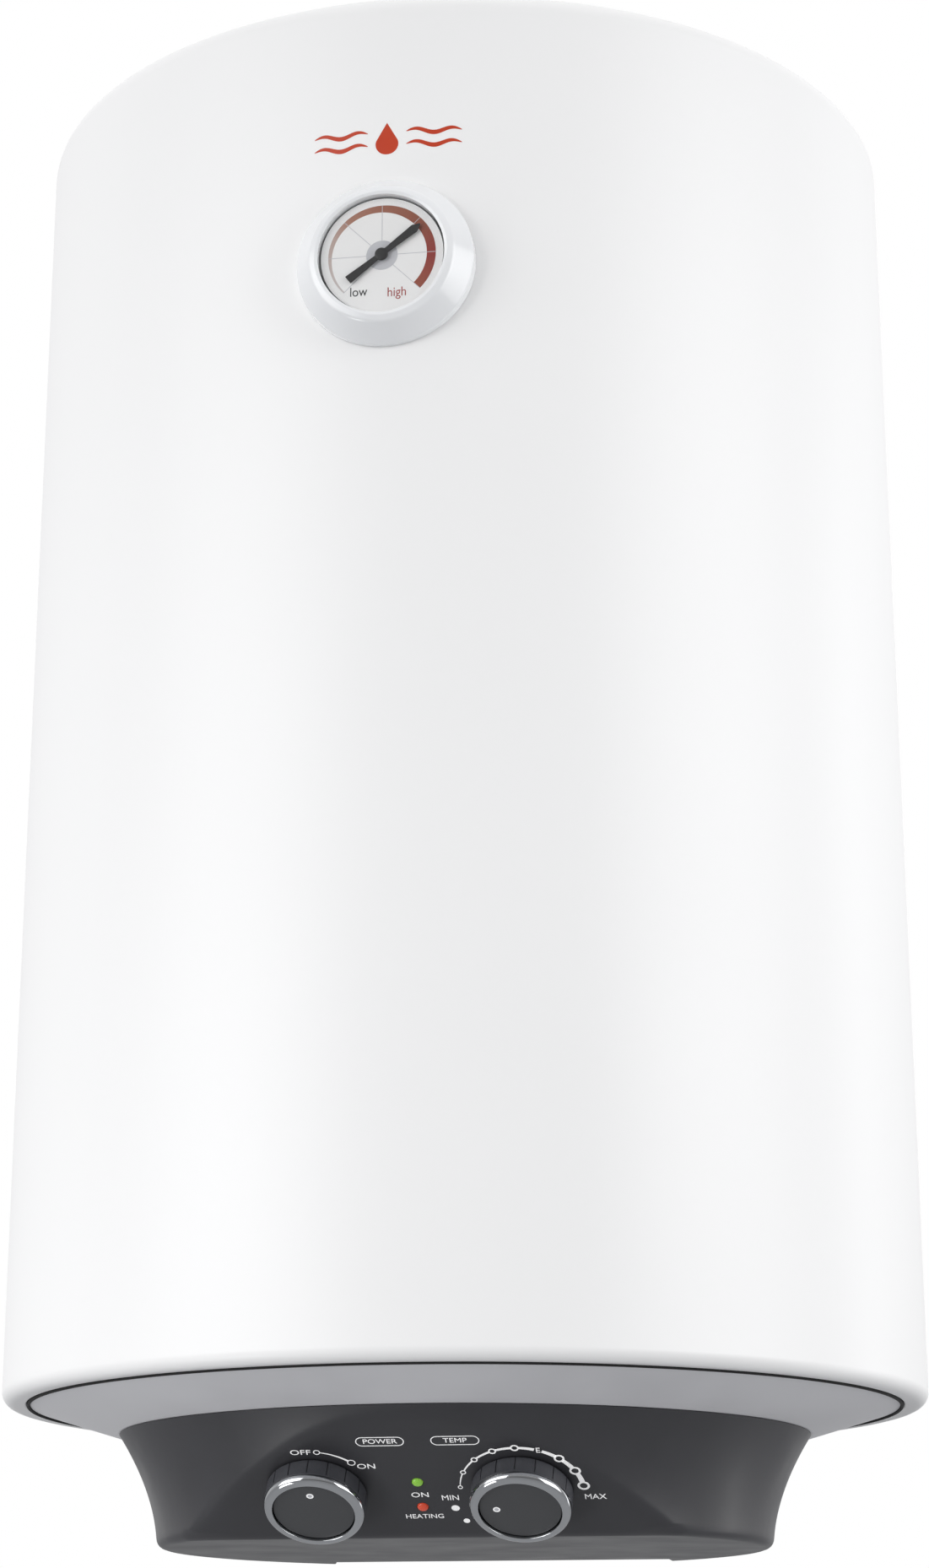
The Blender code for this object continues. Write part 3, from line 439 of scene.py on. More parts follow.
# ABS, injection-moulded against a satin tool: white, with soft flow clouds and a fine even grain.
COVER_ABS = surface("abs_white_satin_moulded", ("D8D8DB", "E1E1E4"), (0.34, 0.46), 38 * MM, 0.9 * MM,
                    0.012 * MM)
# ABS, injection-moulded against a polished tool: a wet-looking white rim.
RIM_ABS = surface("abs_white_gloss_moulded", ("EDEFF1", "F3F4F6"), (0.12, 0.18), 25 * MM, 1.6 * MM,
                  0.003 * MM, Coat_Weight=0.5, Coat_Roughness=0.06)
# ABS, moulded against a spark-eroded tool: charcoal with a pebbled sheen that widens highlights.
HOUSING_ABS = surface("abs_charcoal_spark_texture", ("343437", "3B3B3F"), (0.34, 0.42), 30 * MM, 0.8 * MM,
                      0.010 * MM)
# The same plastic on the knobs, a shade bluer and finer.
KNOB_ABS = surface("abs_slate_fine_texture", ("3E3F44", "46474C"), (0.36, 0.44), 12 * MM, 0.5 * MM,
                   0.008 * MM)
# Knob cap, moulded ABS with a spun satin face.
CAP_ABS = surface("abs_cap_spun_satin", ("434446", "4A4B4D"), (0.40, 0.50), 9 * MM, 0.4 * MM, 0.005 * MM)
# Black polyamide, moulded: dense black with a soft satin shine.
BLACK_PA = surface("polyamide_black_moulded", ("141415", "1B1B1D"), (0.38, 0.5), 8 * MM, 0.6 * MM, 0.010 * MM)
# Chrome plate on ABS: a near-perfect mirror, hazed a little where fingers hold it.
CHROME = surface("chrome_plate_on_abs", ("C2C4C7", "CCCED0"), (0.05, 0.11), 10 * MM, 2.5 * MM, 0.001 * MM,
                 Metallic=1.0)
# Screen-printed card of the dial: flat white with the card's fine tooth.
DIAL_CARD = surface("dial_card_screen_white", ("FCFCFB", "FFFFFF"), (0.45, 0.55), 14 * MM, 0.5 * MM,
                    0.004 * MM)
# Screen inks: a thin even film, a little duller than what it lies on. The white one is given a
# faint glow: painted light, brighter than its lighting would leave it, so that its finest lines
# still read.
GLOWING_WHITE_INK = surface("screen_ink_white_painted_glow", ("FAFAFA", "FFFFFF"), INK_GLOSS, 3 * MM, 0.3 * MM, 0.002 * MM,
                    Emission_Color=colour("FFFFFF"), Emission_Strength=0.25)
GREY_INK = surface("screen_ink_pale_grey", ("CACBD0", "D2D3D8"), INK_GLOSS, 3 * MM, 0.3 * MM, 0.002 * MM)
BLACK_INK = surface("screen_ink_black", ("222326", "2C2D30"), INK_GLOSS, 3 * MM, 0.3 * MM, 0.002 * MM)
RED_INK = surface("screen_ink_dark_red", ("A0322F", "A83A36"), INK_GLOSS, 3 * MM, 0.3 * MM, 0.002 * MM)
# The badge's ink is glossier, as on enamel.
BADGE_INK = surface("screen_ink_vermilion", ("BF3A1B", "C7421F"), (0.28, 0.36), 8 * MM, 0.4 * MM, 0.002 * MM)
HEAT_INK = scale_ink()
# Needle: aluminium sheet, stamped and painted dead black.
NEEDLE = surface("needle_matt_black_paint", ("0B0B0C", "121213"), (0.45, 0.6), 3 * MM, 0.3 * MM, 0.004 * MM)
ACRYLIC = clear_acrylic()
GREEN_PC = lamp_lens("polycarbonate_green_lens", ("7DB23C", "8CBF49"), "7FB03F")
RED_PC = lamp_lens("polycarbonate_red_lens", ("CB4630", "D8543A"), "D0452F")
# Sheet steel, zinc-plated: cool grey, its rolling lines still showing through the plate.
ZINC = stretched(surface("zinc_plated_steel", ("A9ADB1", "BCC0C4"), (0.28, 0.44), 16 * MM, 0.5 * MM,
                         0.006 * MM, Metallic=1.0), 12 * MM, 0.5 * MM)
# Drawn steel tube and bar, left plain: darker, with handling marks.
STEEL = surface("drawn_steel_plain", ("7C7F82", "92959A"), (0.30, 0.48), 14 * MM, 0.4 * MM, 0.006 * MM,
                Metallic=1.0)
# EPDM rubber, pressed: matt black with a dusty bloom.
RUBBER = surface("epdm_rubber_pressed", ("1B1B1B", "262626"), (0.72, 0.86), 10 * MM, 0.7 * MM, 0.02 * MM)
# Polyamide collars, moulded and coloured through, blue for cold and red for hot.
BLUE_PA = surface("polyamide_blue_moulded", ("2A5CAE", "3568BC"), (0.36, 0.48), 7 * MM, 0.5 * MM, 0.008 * MM)
RED_PA = surface("polyamide_red_moulded", ("B8342A", "C43F33"), (0.36, 0.48), 7 * MM, 0.5 * MM, 0.008 * MM)

# What the inner CAD pieces are made of, by the record's slot. They show only when it is taken apart.
INNER = {
    # Vitreous enamel, fired: deep glassy blue with a slight ripple.
    "enamelled_steel": surface("vitreous_enamel_cobalt", ("223A66", "2C4878"), (0.12, 0.2), 40 * MM, 4 * MM,
                               0.02 * MM, Coat_Weight=0.6),
    # Polyurethane foam, poured: straw-coloured, open and matt.
    "foam": surface("polyurethane_foam_poured", ("E0CF92", "EBDDAB"), (0.88, 0.96), 30 * MM, 1.2 * MM,
                    0.3 * MM),
    "steel": STEEL,
    "zinc_plate": ZINC,
    "black_rubber": RUBBER,
    # Copper tube, drawn: warm and bright with brown handling stains.
    "copper": surface("copper_tube_drawn", ("A86F45", "C08457"), (0.22, 0.42), 12 * MM, 0.5 * MM, 0.005 * MM,
                      Metallic=1.0),
    # Bimetal strip, rolled brass on steel.
    "bimetal": surface("bimetal_strip_rolled", ("A08655", "B59A66"), (0.3, 0.42), 4 * MM, 0.3 * MM,
                       0.003 * MM, Metallic=1.0),
    # Magnesium, cast: grey and faintly pitted.
    "magnesium": surface("magnesium_cast", ("8F918E", "A2A4A0"), (0.5, 0.68), 9 * MM, 0.9 * MM, 0.05 * MM,
                         Metallic=1.0),
    # Urea and PEX mouldings: warm off-white, barely glossy.
    "beige_plastic": surface("urea_beige_moulded", ("DDD8C8", "E8E4D6"), (0.44, 0.56), 8 * MM, 0.6 * MM,
                             0.01 * MM),
    # Glass-fibre board under green solder mask.
    "circuit_board": surface("fr4_green_solder_mask", ("255F3C", "30734A"), (0.28, 0.4), 5 * MM, 0.4 * MM,
                             0.006 * MM),
    "black_plastic": BLACK_PA,
}


# ---- Drum ----------------------------------------------------------------------------------
SHEET = 0.8 * MM
CURL = 12 * MM  # how far the casing's bottom edge rolls in
CURL_RISE = 0.8 * MM  # and how far it slopes up on the way
CURL_LIP = 3 * MM  # top of the lip that it ends in
COVER_GAP = 1.6 * MM  # joint between that lip and the bottom ring
SHADE_SEAL_CLEAR = 0.1 * MM  # from the joint's black seal, set there as painted shade for the shadow line, to either side of it
SHADE_SEAL_DROP = 1.0 * MM  # how far the black seal's bead, the joint's painted shadow line, stands below the joint
BOTTOM_EDGE_R = 6 * MM
TOP_EDGE_R = 10 * MM
TOP_LIP = 20 * MM
GAUGE_HOLE = 24.5 * MM  # radius of the casing's hole behind the gauge's rim


def drum():
    """The casing: one rolled sheet with a rounded shoulder and a curled bottom edge."""
    bead = 0.3 * MM
    outline = eased([
        (DRUM_R - CURL, CURL_LIP, bead),
        (DRUM_R - CURL, CURL_RISE, 1.2 * MM),
        (DRUM_R, 0, BOTTOM_EDGE_R),
        (DRUM_R, GAUGE_UP - 2 * GAUGE_HOLE),
        (DRUM_R, GAUGE_UP + 2 * GAUGE_HOLE),
        (DRUM_R, DRUM_H, TOP_EDGE_R),
        (DRUM_R - TOP_LIP, DRUM_H, bead),
        (DRUM_R - TOP_LIP, DRUM_H - SHEET, bead),
        (DRUM_R - SHEET, DRUM_H - SHEET, TOP_EDGE_R - SHEET),
        (DRUM_R - SHEET, SHEET, BOTTOM_EDGE_R - SHEET),
        (DRUM_R - CURL + SHEET, SHEET + CURL_RISE),
        (DRUM_R - CURL + SHEET, CURL_LIP),
    ], 8)
    casing = loose("drum_casing", turned(outline, ROUND), HEATER)
    carve(casing, moved(peg(GAUGE_HOLE, -20 * MM, 20 * MM), GAUGE))
    mounted(casing, LACQUER, stands_for=["outer_casing"])


def lid():
    """The slightly crowned lid, let into the casing's top edge."""
    low, high, rim = reach("top_cover", HEATER)
    step = DRUM_R - TOP_LIP - 0.5 * MM
    seat = DRUM_H - SHEET - 0.3 * MM
    crown = [(step * i / 8, high - (high - DRUM_H) * (i / 8) ** 2) for i in range(8)]
    outline = crown + eased([(step, DRUM_H, 0.7 * MM)] + [
        (step, seat), (rim, seat), (rim, low), (step - SHEET, low),
        (step - SHEET, DRUM_H - SHEET), (0, high - SHEET), (0, high)], 4)[:-1]
    piece("drum_lid", turned(outline, ROUND), LACQUER, stands_for=["top_cover"])


def bottom_ring():
    """The dished ring inside the casing's curl, the pipes' two holes, and a black seal painting the joint's shadow
    line.
    """
    low, high, rim = reach("bottom_cover", HEATER)
    sheet = 1.5 * MM
    edge = DRUM_R - CURL - COVER_GAP
    step = HOUSING_TOP_R + 0.5 * MM
    hole = 85 * MM  # radius of the opening to the heater's works
    outline = eased([
        (rim, high), (rim, high - sheet), (edge, high - sheet), (edge, CURL_RISE, 0.3 * MM),
        (step, low, 6 * MM), (hole, low), (hole, low + sheet), (step, low + sheet, 4 * MM),
        (edge - sheet, CURL_RISE + sheet), (edge - sheet, high)], 6)
    cover = loose("bottom_ring", turned(outline, ROUND), HEATER)
    for node in ("hot_collar", "cold_collar"):
        x, y = node_axis(node)
        carve(cover, moved(peg(PIPE_R + 2 * MM, low - 20 * MM, 20 * MM, (x, y)), HEATER))
    mounted(cover, COVER_ABS, stands_for=["bottom_cover"])
    # Painted shade: a black rubber bead set in the joint below the casing's edge makes the dark shadow line there;
    # the seal itself is a guessed part.
    inner, outer, top = edge + SHADE_SEAL_CLEAR, DRUM_R - CURL - SHADE_SEAL_CLEAR, high - sheet - SHADE_SEAL_CLEAR
    bead = 0.5 * MM
    shade_seal = eased([(inner, top), (inner, CURL_RISE - SHADE_SEAL_DROP, bead), (outer, CURL_RISE - SHADE_SEAL_DROP, bead),
                  (outer, top)])
    piece("cover_joint_shade_seal", turned(shade_seal, ROUND), RUBBER)


def node_axis(node):
    """Where an upright CAD piece stands in the heater's frame."""
    low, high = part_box(node)
    spot = HEATER.inverted() @ ((low + high) / 2)
    return spot.x, spot.y


# ---- Control housing -----------------------------------------------------------------------
PIPE_R = 10.5 * MM
HOUSING_FLOOR, HOUSING_TOP, HOUSING_TOP_R = reach("control_housing", HEATER)
HOUSING_FLOOR_R = 148.5 * MM
HOUSING_WALL = 2.5 * MM
FLOOR_EDGE, PANEL_EDGE = 5, 2  # the floor edge's radius in mm: on the side, and along the panel
FLARE_POWER = 1.8
BLEND_HIGH = 2.5 * MM  # how softly panel and side run together at the panel's crest
BLEND_LOW = 9 * MM  # and at the panel's feet, where the edge flares out
BLEND_PACE = 1.6  # how fast the second gives way to the first on the way up
PANEL_REACH = 0.3  # cosine of the turn from the front past which the panel cuts nothing
NOTCH_HALF = 88 * MM  # half the width of the recess for the pipes
NOTCH_Y = 96.8 * MM  # and where its wall stands behind the drum's axis
SHAFT_HOLE_R = 4 * MM
LAMP_HOLE_R = 2.8 * MM
GLAND_HOLE_R = 8.1 * MM
SCREW_HOLE_R = 2.2 * MM
TAB_HALF = 8 * MM  # half the width of the tabs that the housing's screws go through
PANEL_SPOT = HEATER.inverted() @ PANEL.translation
PANEL_NORMAL = PANEL.to_3x3().col[2]


def soft_least(a, b, blend):
    """The smaller of two lengths, rounded off where they meet."""
    near = max(blend - abs(a - b), 0) / blend
    return min(a, b) - near * near * blend / 4


def housing_wall(angle, height, inset):
    """The housing's radius at an angle from the front: flared side and inclined panel run together."""
    share = (height - HOUSING_FLOOR) / (HOUSING_TOP - HOUSING_FLOOR)
    side = HOUSING_FLOOR_R + (HOUSING_TOP_R - HOUSING_FLOOR_R) * max(share, 0) ** FLARE_POWER - inset
    facing_front = math.cos(angle)
    if facing_front < PANEL_REACH:
        return side
    rise = (height - PANEL_SPOT.z) * PANEL_NORMAL.z
    across = PANEL_SPOT.y + (rise + inset) / -PANEL_NORMAL.y
    panel = -across / facing_front
    blend = BLEND_LOW + (BLEND_HIGH - BLEND_LOW) * min(max(share, 0) * BLEND_PACE, 1)
    return soft_least(side, panel, blend)


def housing_rows(inset, columns, rows, top):
    """The housing's skin from its top to the middle of its floor, moved in by inset."""
    angles = [math.tau * i / columns for i in range(columns)]
    floor = HOUSING_FLOOR + inset

    def row(place):
        points = []
        for angle in angles:
            radius, height = place(angle)
            points.append((radius * math.sin(angle), -radius * math.cos(angle), height))
        return points

    def edge(angle):
        """The floor edge's radius: full on the side, tight once the panel cuts in an eighth."""
        on_side = housing_wall(angle, floor, inset) / (HOUSING_FLOOR_R - inset)
        share = min(max(on_side * 8 - 7, 0), 1)
        return (PANEL_EDGE + (FLOOR_EDGE - PANEL_EDGE) * share) * MM

    def wall_at(share):
        def place(angle):
            foot = floor + edge(angle)
            height = top + (foot - top) * share
            return housing_wall(angle, height, inset), height
        return row(place)

    def fillet_at(share):
        def place(angle):
            soft = edge(angle)
            high_r = housing_wall(angle, floor + soft, inset)
            low_r = housing_wall(angle, floor, inset)
            radius = high_r * (1 - share) ** 2 + 2 * low_r * share * (1 - share) + (low_r - soft) * share**2
            return radius, floor + soft * (1 - share) ** 2
        return row(place)

    def floor_at(share):
        return row(lambda angle: ((housing_wall(angle, floor, inset) - edge(angle)) * share, floor))

    skins = [wall_at(i / rows) for i in range(rows + 1)]
    skins += [fillet_at(i / 6) for i in range(1, 7)]
    skins += [floor_at(share) for share in (0.8, 0.4)]
    return skins + [[(0, 0, floor)]]


def housing():
    """The control housing: a flared tub whose front is cut by the panel, with a recess at the back."""
    outside = [[(0, 0, HOUSING_TOP)]] + housing_rows(0, 480, 56, HOUSING_TOP)
    shell = loose("control_shell", skin(outside), HEATER)
    beyond = 30 * MM
    inside = [[(0, 0, beyond)]] + housing_rows(HOUSING_WALL, 96, 16, beyond)
    room = loose("room", skin(inside), HEATER)
    far = 250 * MM

    def notch(inset):
        half = NOTCH_HALF + inset
        return moved(box(-half, half, NOTCH_Y - inset, far, HOUSING_FLOOR - beyond, 2 * beyond), HEATER)

    carve(room, notch(HOUSING_WALL))
    hollow = bmesh.new()
    hollow.from_mesh(room.data)
    discard(room)
    carve(shell, hollow)
    carve(shell, notch(0))
    deep = 15 * MM
    drills = [peg(SHAFT_HOLE_R, -deep, deep, (x, 0)) for x in (-KNOB_X, KNOB_X)]
    drills += [peg(LAMP_HOLE_R, -deep, deep, (0, up)) for up in LAMPS_UP.values()]
    carve(shell, moved(together(drills), PANEL))
    carve(shell, moved(peg(GLAND_HOLE_R, -deep, deep), gland_frame()))
    for number in (1, 2):
        x, y = node_axis(f"housing_screw_{number}")
        tab = box(x - TAB_HALF, x + TAB_HALF, NOTCH_Y - HOUSING_WALL / 2, NOTCH_Y + deep,
                  HOUSING_TOP - HOUSING_WALL, HOUSING_TOP)
        carve(shell, moved(tab, HEATER), "UNION")
        carve(shell, moved(peg(SCREW_HOLE_R, -2 * beyond, beyond, (x, y)), HEATER))
    mounted(shell, HOUSING_ABS, stands_for=["control_housing"])


def gland_frame():
    """The gland's frame, on the recess's wall and facing the back."""
    low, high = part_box("cable_gland")
    spot = Vector(((low.x + high.x) / 2, HEATER.translation.y + NOTCH_Y, (low.z + high.z) / 2))
    return facing(spot, Vector((0, 1, 0)))


def lamp_up(node):
    """How far up the panel a lamp stands."""
    low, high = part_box(node)
    return (PANEL.inverted() @ ((low + high) / 2)).y


LAMPS_UP = {node: lamp_up(node) for node in ("green_lamp_lens", "red_lamp_lens")}


def lamps():
    """Two domed lamp lenses, each held from behind by its flange."""
    radius = 2.5 * MM
    rounds = [math.pi / 2 * i / 8 for i in range(9)]
    for node, finish in (("green_lamp_lens", GREEN_PC), ("red_lamp_lens", RED_PC)):
        at = PANEL @ Matrix.Translation((0, LAMPS_UP[node], 0))
        low, high, flange = reach(node, at)
        seat = low + 1.8 * MM
        dome = [(radius * math.sin(a), high * math.cos(a)) for a in rounds]
        outline = dome + [(radius, seat), (flange, seat), (flange, low), (0, low)]
        piece(node.replace("_lens", "_dome"), turned(outline, SMALL), finish, at, stands_for=[node])


# ---- Knobs ---------------------------------------------------------------------------------
KNOB_R = 23 * MM
RING_FRONT_R = 20.2 * MM
CAP_R = 18.5 * MM
SHAFT_BORE = 3.3 * MM  # radius of the hole in a knob's boss
DOT_UP = 10.7 * MM  # from the knob's axis to its pointer dot
DOT_R, DOT_RIM_R = 1.05 * MM, 1.65 * MM
GROOVES = 16  # finger grooves round the skirt
GROOVE_WIDTH = 0.55 * MM
GROOVE_DEPTH = 0.45 * MM


def knob(name, spot, dot_turn):
    """A knob: grooved skirt, chrome ring, satin cap and its printed pointer dot."""
    at = facing(spot, -knob_axis)
    body = f"{name}_knob"  # also the name of the skirt's CAD node
    low, high, _ = reach(body, at)
    skirt = loose(f"{name}_knob_skirt", turned(skirt_outline(low, high)), at)
    carve(skirt, moved(skirt_grooves(low, high), at))
    mounted(skirt, KNOB_ABS, body, [body])
    bevel = turned(bevel_outline(*reach(f"{name}_knob_ring", at)[:2]))
    piece(f"{name}_knob_bevel", bevel, CHROME, at, body, [f"{name}_knob_ring"])
    low, high, _ = reach(f"{name}_knob_face", at)
    face = eased([(0, low), (CAP_R, low), (CAP_R, high, 0.4 * MM), (0, high)], 4)
    piece(f"{name}_knob_cap", turned(face), CAP_ABS, at, body, [f"{name}_knob_face"])
    turn = at @ Matrix.Translation((0, 0, high)) @ Matrix.Rotation(math.radians(dot_turn), 4, "Z")
    rim = moved(flat_ring(DOT_R, DOT_RIM_R, SMALL), Matrix.Translation((0, DOT_UP, 0)))
    piece(f"{name}_knob_dot_rim", rim, GLOWING_WHITE_INK, turn, body)
    piece(f"{name}_knob_dot", peg(DOT_R, INK_LOW, INK_HIGH / 2, (0, DOT_UP)), GREY_INK, turn, body)


def skirt_outline(low, high):
    """The skirt's section: a thin cup with a boss for the shaft inside."""
    wall = 1.5 * MM
    plate = high - 2.5 * MM
    boss = SHAFT_BORE + 3.2 * MM
    return eased([
        (SHAFT_BORE, high / 4), (boss, high / 4), (boss, plate), (KNOB_R - wall, plate),
        (KNOB_R - wall, low), (KNOB_R, low, 0.4 * MM), (KNOB_R, high, 0.3 * MM), (SHAFT_BORE, high)], 4)


def skirt_grooves(low, high):
    """The finger grooves, which stop short of the chrome ring."""
    groove = box(-GROOVE_DEPTH, GROOVE_DEPTH, -GROOVE_WIDTH / 2, GROOVE_WIDTH / 2,
                 low - 1 * MM, high - 0.9 * MM)
    return repeated(groove, GROOVES, KNOB_R, 90, 360 / GROOVES)


def bevel_outline(low, high):
    """The ring's section: a short upright foot, a quarter round and an eased inner lip."""
    lip = CAP_R + 0.3 * MM
    foot = 0.12
    turns = [math.pi / 2 * i / 10 for i in range(10)]
    bevel = [(RING_FRONT_R + (KNOB_R - RING_FRONT_R) * math.cos(a),
              low + (high - low) * (foot + (1 - foot) * math.sin(a))) for a in turns]
    inside = eased([(KNOB_R, low), (RING_FRONT_R, high), (lip, high, 0.35 * MM), (lip, low)], 4)
    return [(lip, low), (KNOB_R, low)] + bevel + inside[1:-1]


def flat_ring(inner, outer, facets=TURNED):
    """A printed ring."""
    return turned([(inner, INK_LOW), (outer, INK_LOW), (outer, INK_HIGH), (inner, INK_HIGH)], facets)


# ---- Thermometer ---------------------------------------------------------------------------
DIAL_R = reach("gauge_dial", GAUGE)[2]
BAND_R = 26 * MM
BAND_START, BAND_END = 225, -45  # degrees, anticlockwise from the right
BAND_STEPS = 54
BAND_THIN, BAND_WIDENS = 0.7, 3.6  # the band's width at its cold end and what it gains, in mm
BAND_FULL = 0.62  # share of the scale by which it has its full width
SPOKES = 7
SPOKE_HALF = 0.14 * MM
DIAL_HOLE = 1.7 * MM
HUB_DISC_R = 7.6 * MM
DIAL_TYPE = 6.8 * MM  # height of the dial's letters
DIAL_SQUEEZE = 0.85  # and how narrow they are set
POINTER_TURN = 52.5  # degrees clockwise from straight up, where the needle rests


def bezel():
    """The gauge's rim: a glossy cone whose back follows the drum's round."""
    _, high, outer = reach("gauge_bezel", GAUGE)
    inner = DIAL_R + 0.6 * MM
    foot = 0.0  # the two corners at this height are bent to the drum
    profile = eased([
        (inner, foot), (outer, foot), (outer, 2.6 * MM, 1.6 * MM),
        (inner + 4.5 * MM, high - 1.2 * MM, 4 * MM), (inner + 1.6 * MM, high, 1.0 * MM),
        (inner, high - 0.4 * MM, 0.4 * MM)], 6)

    def on_drum(x):
        return math.sqrt(DRUM_R**2 - x**2) - DRUM_R + 0.3 * MM

    rows = []
    for radius, height in profile:
        points = ring(radius, height, TURNED)
        rows.append([(x, y, on_drum(x) if height == foot else height) for x, y, _ in points])
    piece("gauge_rim", skin(rows, loop=True), RIM_ABS, GAUGE, stands_for=["gauge_bezel"])


def dial():
    """The dial card and what is printed on it."""
    low, high, _ = reach("gauge_dial", GAUGE)
    card = turned([(DIAL_HOLE, low), (DIAL_R, low), (DIAL_R, high), (DIAL_HOLE, high)])
    piece("dial_card", card, DIAL_CARD, GAUGE, stands_for=["gauge_dial"])
    printed = GAUGE @ Matrix.Translation((0, 0, high))
    piece("dial_edge_line", flat_ring(DIAL_R - 0.35 * MM, DIAL_R - 0.05 * MM), BLACK_INK, printed)
    piece("dial_hub_disc", flat_ring(DIAL_HOLE, HUB_DISC_R), GREY_INK, printed)
    heat_band(printed)
    over_band = INK_HIGH * 1.4
    spoke = box(0, BAND_R - HUB_DISC_R, -SPOKE_HALF, SPOKE_HALF, INK_LOW, over_band)
    spokes = repeated(spoke, SPOKES, HUB_DISC_R, BAND_END, 45, GREY_INK)
    piece("dial_spokes", spokes, GREY_INK, printed)
    for text, ink, spot in (("low", BLACK_INK, (-11.2 * MM, -18.4 * MM)),
                            ("high", RED_INK, (7.3 * MM, -19.6 * MM))):
        piece(f"dial_word_{text}", word(text, DIAL_TYPE, spot, DIAL_SQUEEZE), ink, printed)


def heat_band(printed):
    """The scale's band: a hair wide at the cold end, widening over its first half."""
    rows = []
    for i in range(BAND_STEPS + 1):
        share = i / BAND_STEPS
        inside = BAND_R - (BAND_THIN + BAND_WIDENS * min(share / BAND_FULL, 1)) * MM
        angle = math.radians(BAND_START + (BAND_END - BAND_START) * share)
        section = [(BAND_R, INK_LOW), (BAND_R, INK_HIGH), (inside, INK_HIGH), (inside, INK_LOW)]
        rows.append([(r * math.cos(angle), r * math.sin(angle), z) for r, z in section])
    band = piece("dial_heat_band", closed(rows), HEAT_INK, printed)
    shares = band.data.attributes.new(SCALE_SHARE, "FLOAT", "POINT")
    back = printed.inverted()
    for vertex, value in zip(band.data.vertices, shares.data):
        spot = back @ vertex.co
        swept = (BAND_START - math.degrees(math.atan2(spot.y, spot.x))) % 360
        value.value = min(swept / (BAND_START - BAND_END), 1.0)


def word(text, size, middle, squeeze=1.0):
    """A word as a thin printed film, its middle at a point."""
    curve = bpy.data.curves.new("word", "FONT")
    curve.body = text
    curve.size = size
    curve.align_x = "CENTER"
    curve.align_y = "CENTER"
    curve.extrude = INK_HIGH
    thing = bpy.data.objects.new("word", curve)
    bpy.context.scene.collection.objects.link(thing)
    graph = bpy.context.evaluated_depsgraph_get()
    graph.update()
    mesh = bpy.data.meshes.new_from_object(thing.evaluated_get(graph), depsgraph=graph)
    discard(thing)
    made = bmesh.new()
    made.from_mesh(mesh)
    bpy.data.meshes.remove(mesh)
    made.transform(Matrix.Translation((*middle, 0)) @ Matrix.Diagonal((squeeze, 1, 1, 1)))
    return made


def pointer():
    """The needle: arrow tip, square tail, and a domed hub over the spindle."""
    low, high, tip = reach("gauge_pointer", GAUGE)
    half, waist, point, hub, tail = 2.1 * MM, 1.3 * MM, 0.3 * MM, 3.2 * MM, 20.3 * MM
    right = [(point, tip), (half, tip - 3.6 * MM), (waist, hub), (waist, -hub), (half, -tail)]
    outline = right + [(-x, y) for x, y in reversed(right)]
    turn = GAUGE @ Matrix.Rotation(math.radians(-POINTER_TURN), 4, "Z")
    needle = slab(outline, low, high)
    piece("gauge_needle", needle, NEEDLE, turn, "gauge_pointer", ["gauge_pointer"],
          0.12 * MM)
    dome = [(hub * math.sin(a), high - 0.1 * MM + 0.45 * MM * math.cos(a))
            for a in (math.pi / 2 * i / 6 for i in range(7))]
    cap = dome + [(hub, low + 0.1 * MM), (0, low + 0.1 * MM)]
    piece("gauge_hub_cap", turned(cap, SMALL), NEEDLE, GAUGE, "gauge_pointer")


def lens():
    """The clear window over the dial and the needle."""
    low, high, _ = reach("gauge_lens", GAUGE)
    outline = eased([(0, low), (DIAL_R, low), (DIAL_R, high, 0.3 * MM), (0, high)], 3)
    piece("gauge_window", turned(outline), ACRYLIC, GAUGE, stands_for=["gauge_lens"])


# ---- Printing on the panel and the drum ----------------------------------------------------
LINE = 0.42 * MM  # the print's thinnest line
CAPTIONS = ((-13 * MM, "POWER"), (21 * MM, "TEMP"))  # how far across the panel, and the word
CAPTION_UP = 33.6 * MM  # from the panel's middle up to both captions
CAPTION_HALF = (10.8 * MM, 2.8 * MM)
CAPTION_TYPE = 4.3 * MM
SMALL_TYPE, LEGEND_TYPE, LIMIT_TYPE = 4.2 * MM, 4.6 * MM, 4.9 * MM
WIDE, NARROW = 1.2, 0.95  # how much a word is widened or narrowed
POWER_SCALE_R = 27.3 * MM
OFF_TURN, ON_TURN = 9, 44  # degrees clockwise from straight up
TEMPERATURE_SCALE_R = 28 * MM
MARKS, SPARING = 9, 5  # marks on the temperature scale, and the one that is the letter E
MARK_FIRST, MARK_STEP = -86, 21.5  # degrees
MARK_SMALL, MARK_LARGE = 0.95 * MM, 2.3 * MM
LIMITS = (("MIN", -99, 33.9 * MM), ("MAX", 100, 32.8 * MM))  # word, degrees, distance from the axis
LOW_DOTS = ((-111, 34.4 * MM, 1.9 * MM), (-127, 35.3 * MM, 1.5 * MM))  # degrees, distance, radius
BADGE_UP = 66.5 * MM  # from the thermometer's middle up to the sign's
WAVE_LENGTH, WAVE_WIDTH, WAVE_SWING = 27 * MM, 2.4 * MM, 1.2 * MM


def outline_ring(middle, half_x, half_y):
    """A pill or a circle drawn as a thin closed line."""
    def edge(grow):
        round_r = half_y + grow
        straight = half_x - half_y
        right = arc(round_r, -90, 90, 12, (middle[0] + straight, middle[1]))
        left = arc(round_r, 90, 270, 12, (middle[0] - straight, middle[1]))
        return right + left

    outer, inner = edge(LINE / 2), edge(-LINE / 2)
    rows = [[(x, y, INK_LOW) for x, y in inner], [(x, y, INK_LOW) for x, y in outer],
            [(x, y, INK_HIGH) for x, y in outer], [(x, y, INK_HIGH) for x, y in inner]]
    return skin(rows, loop=True)


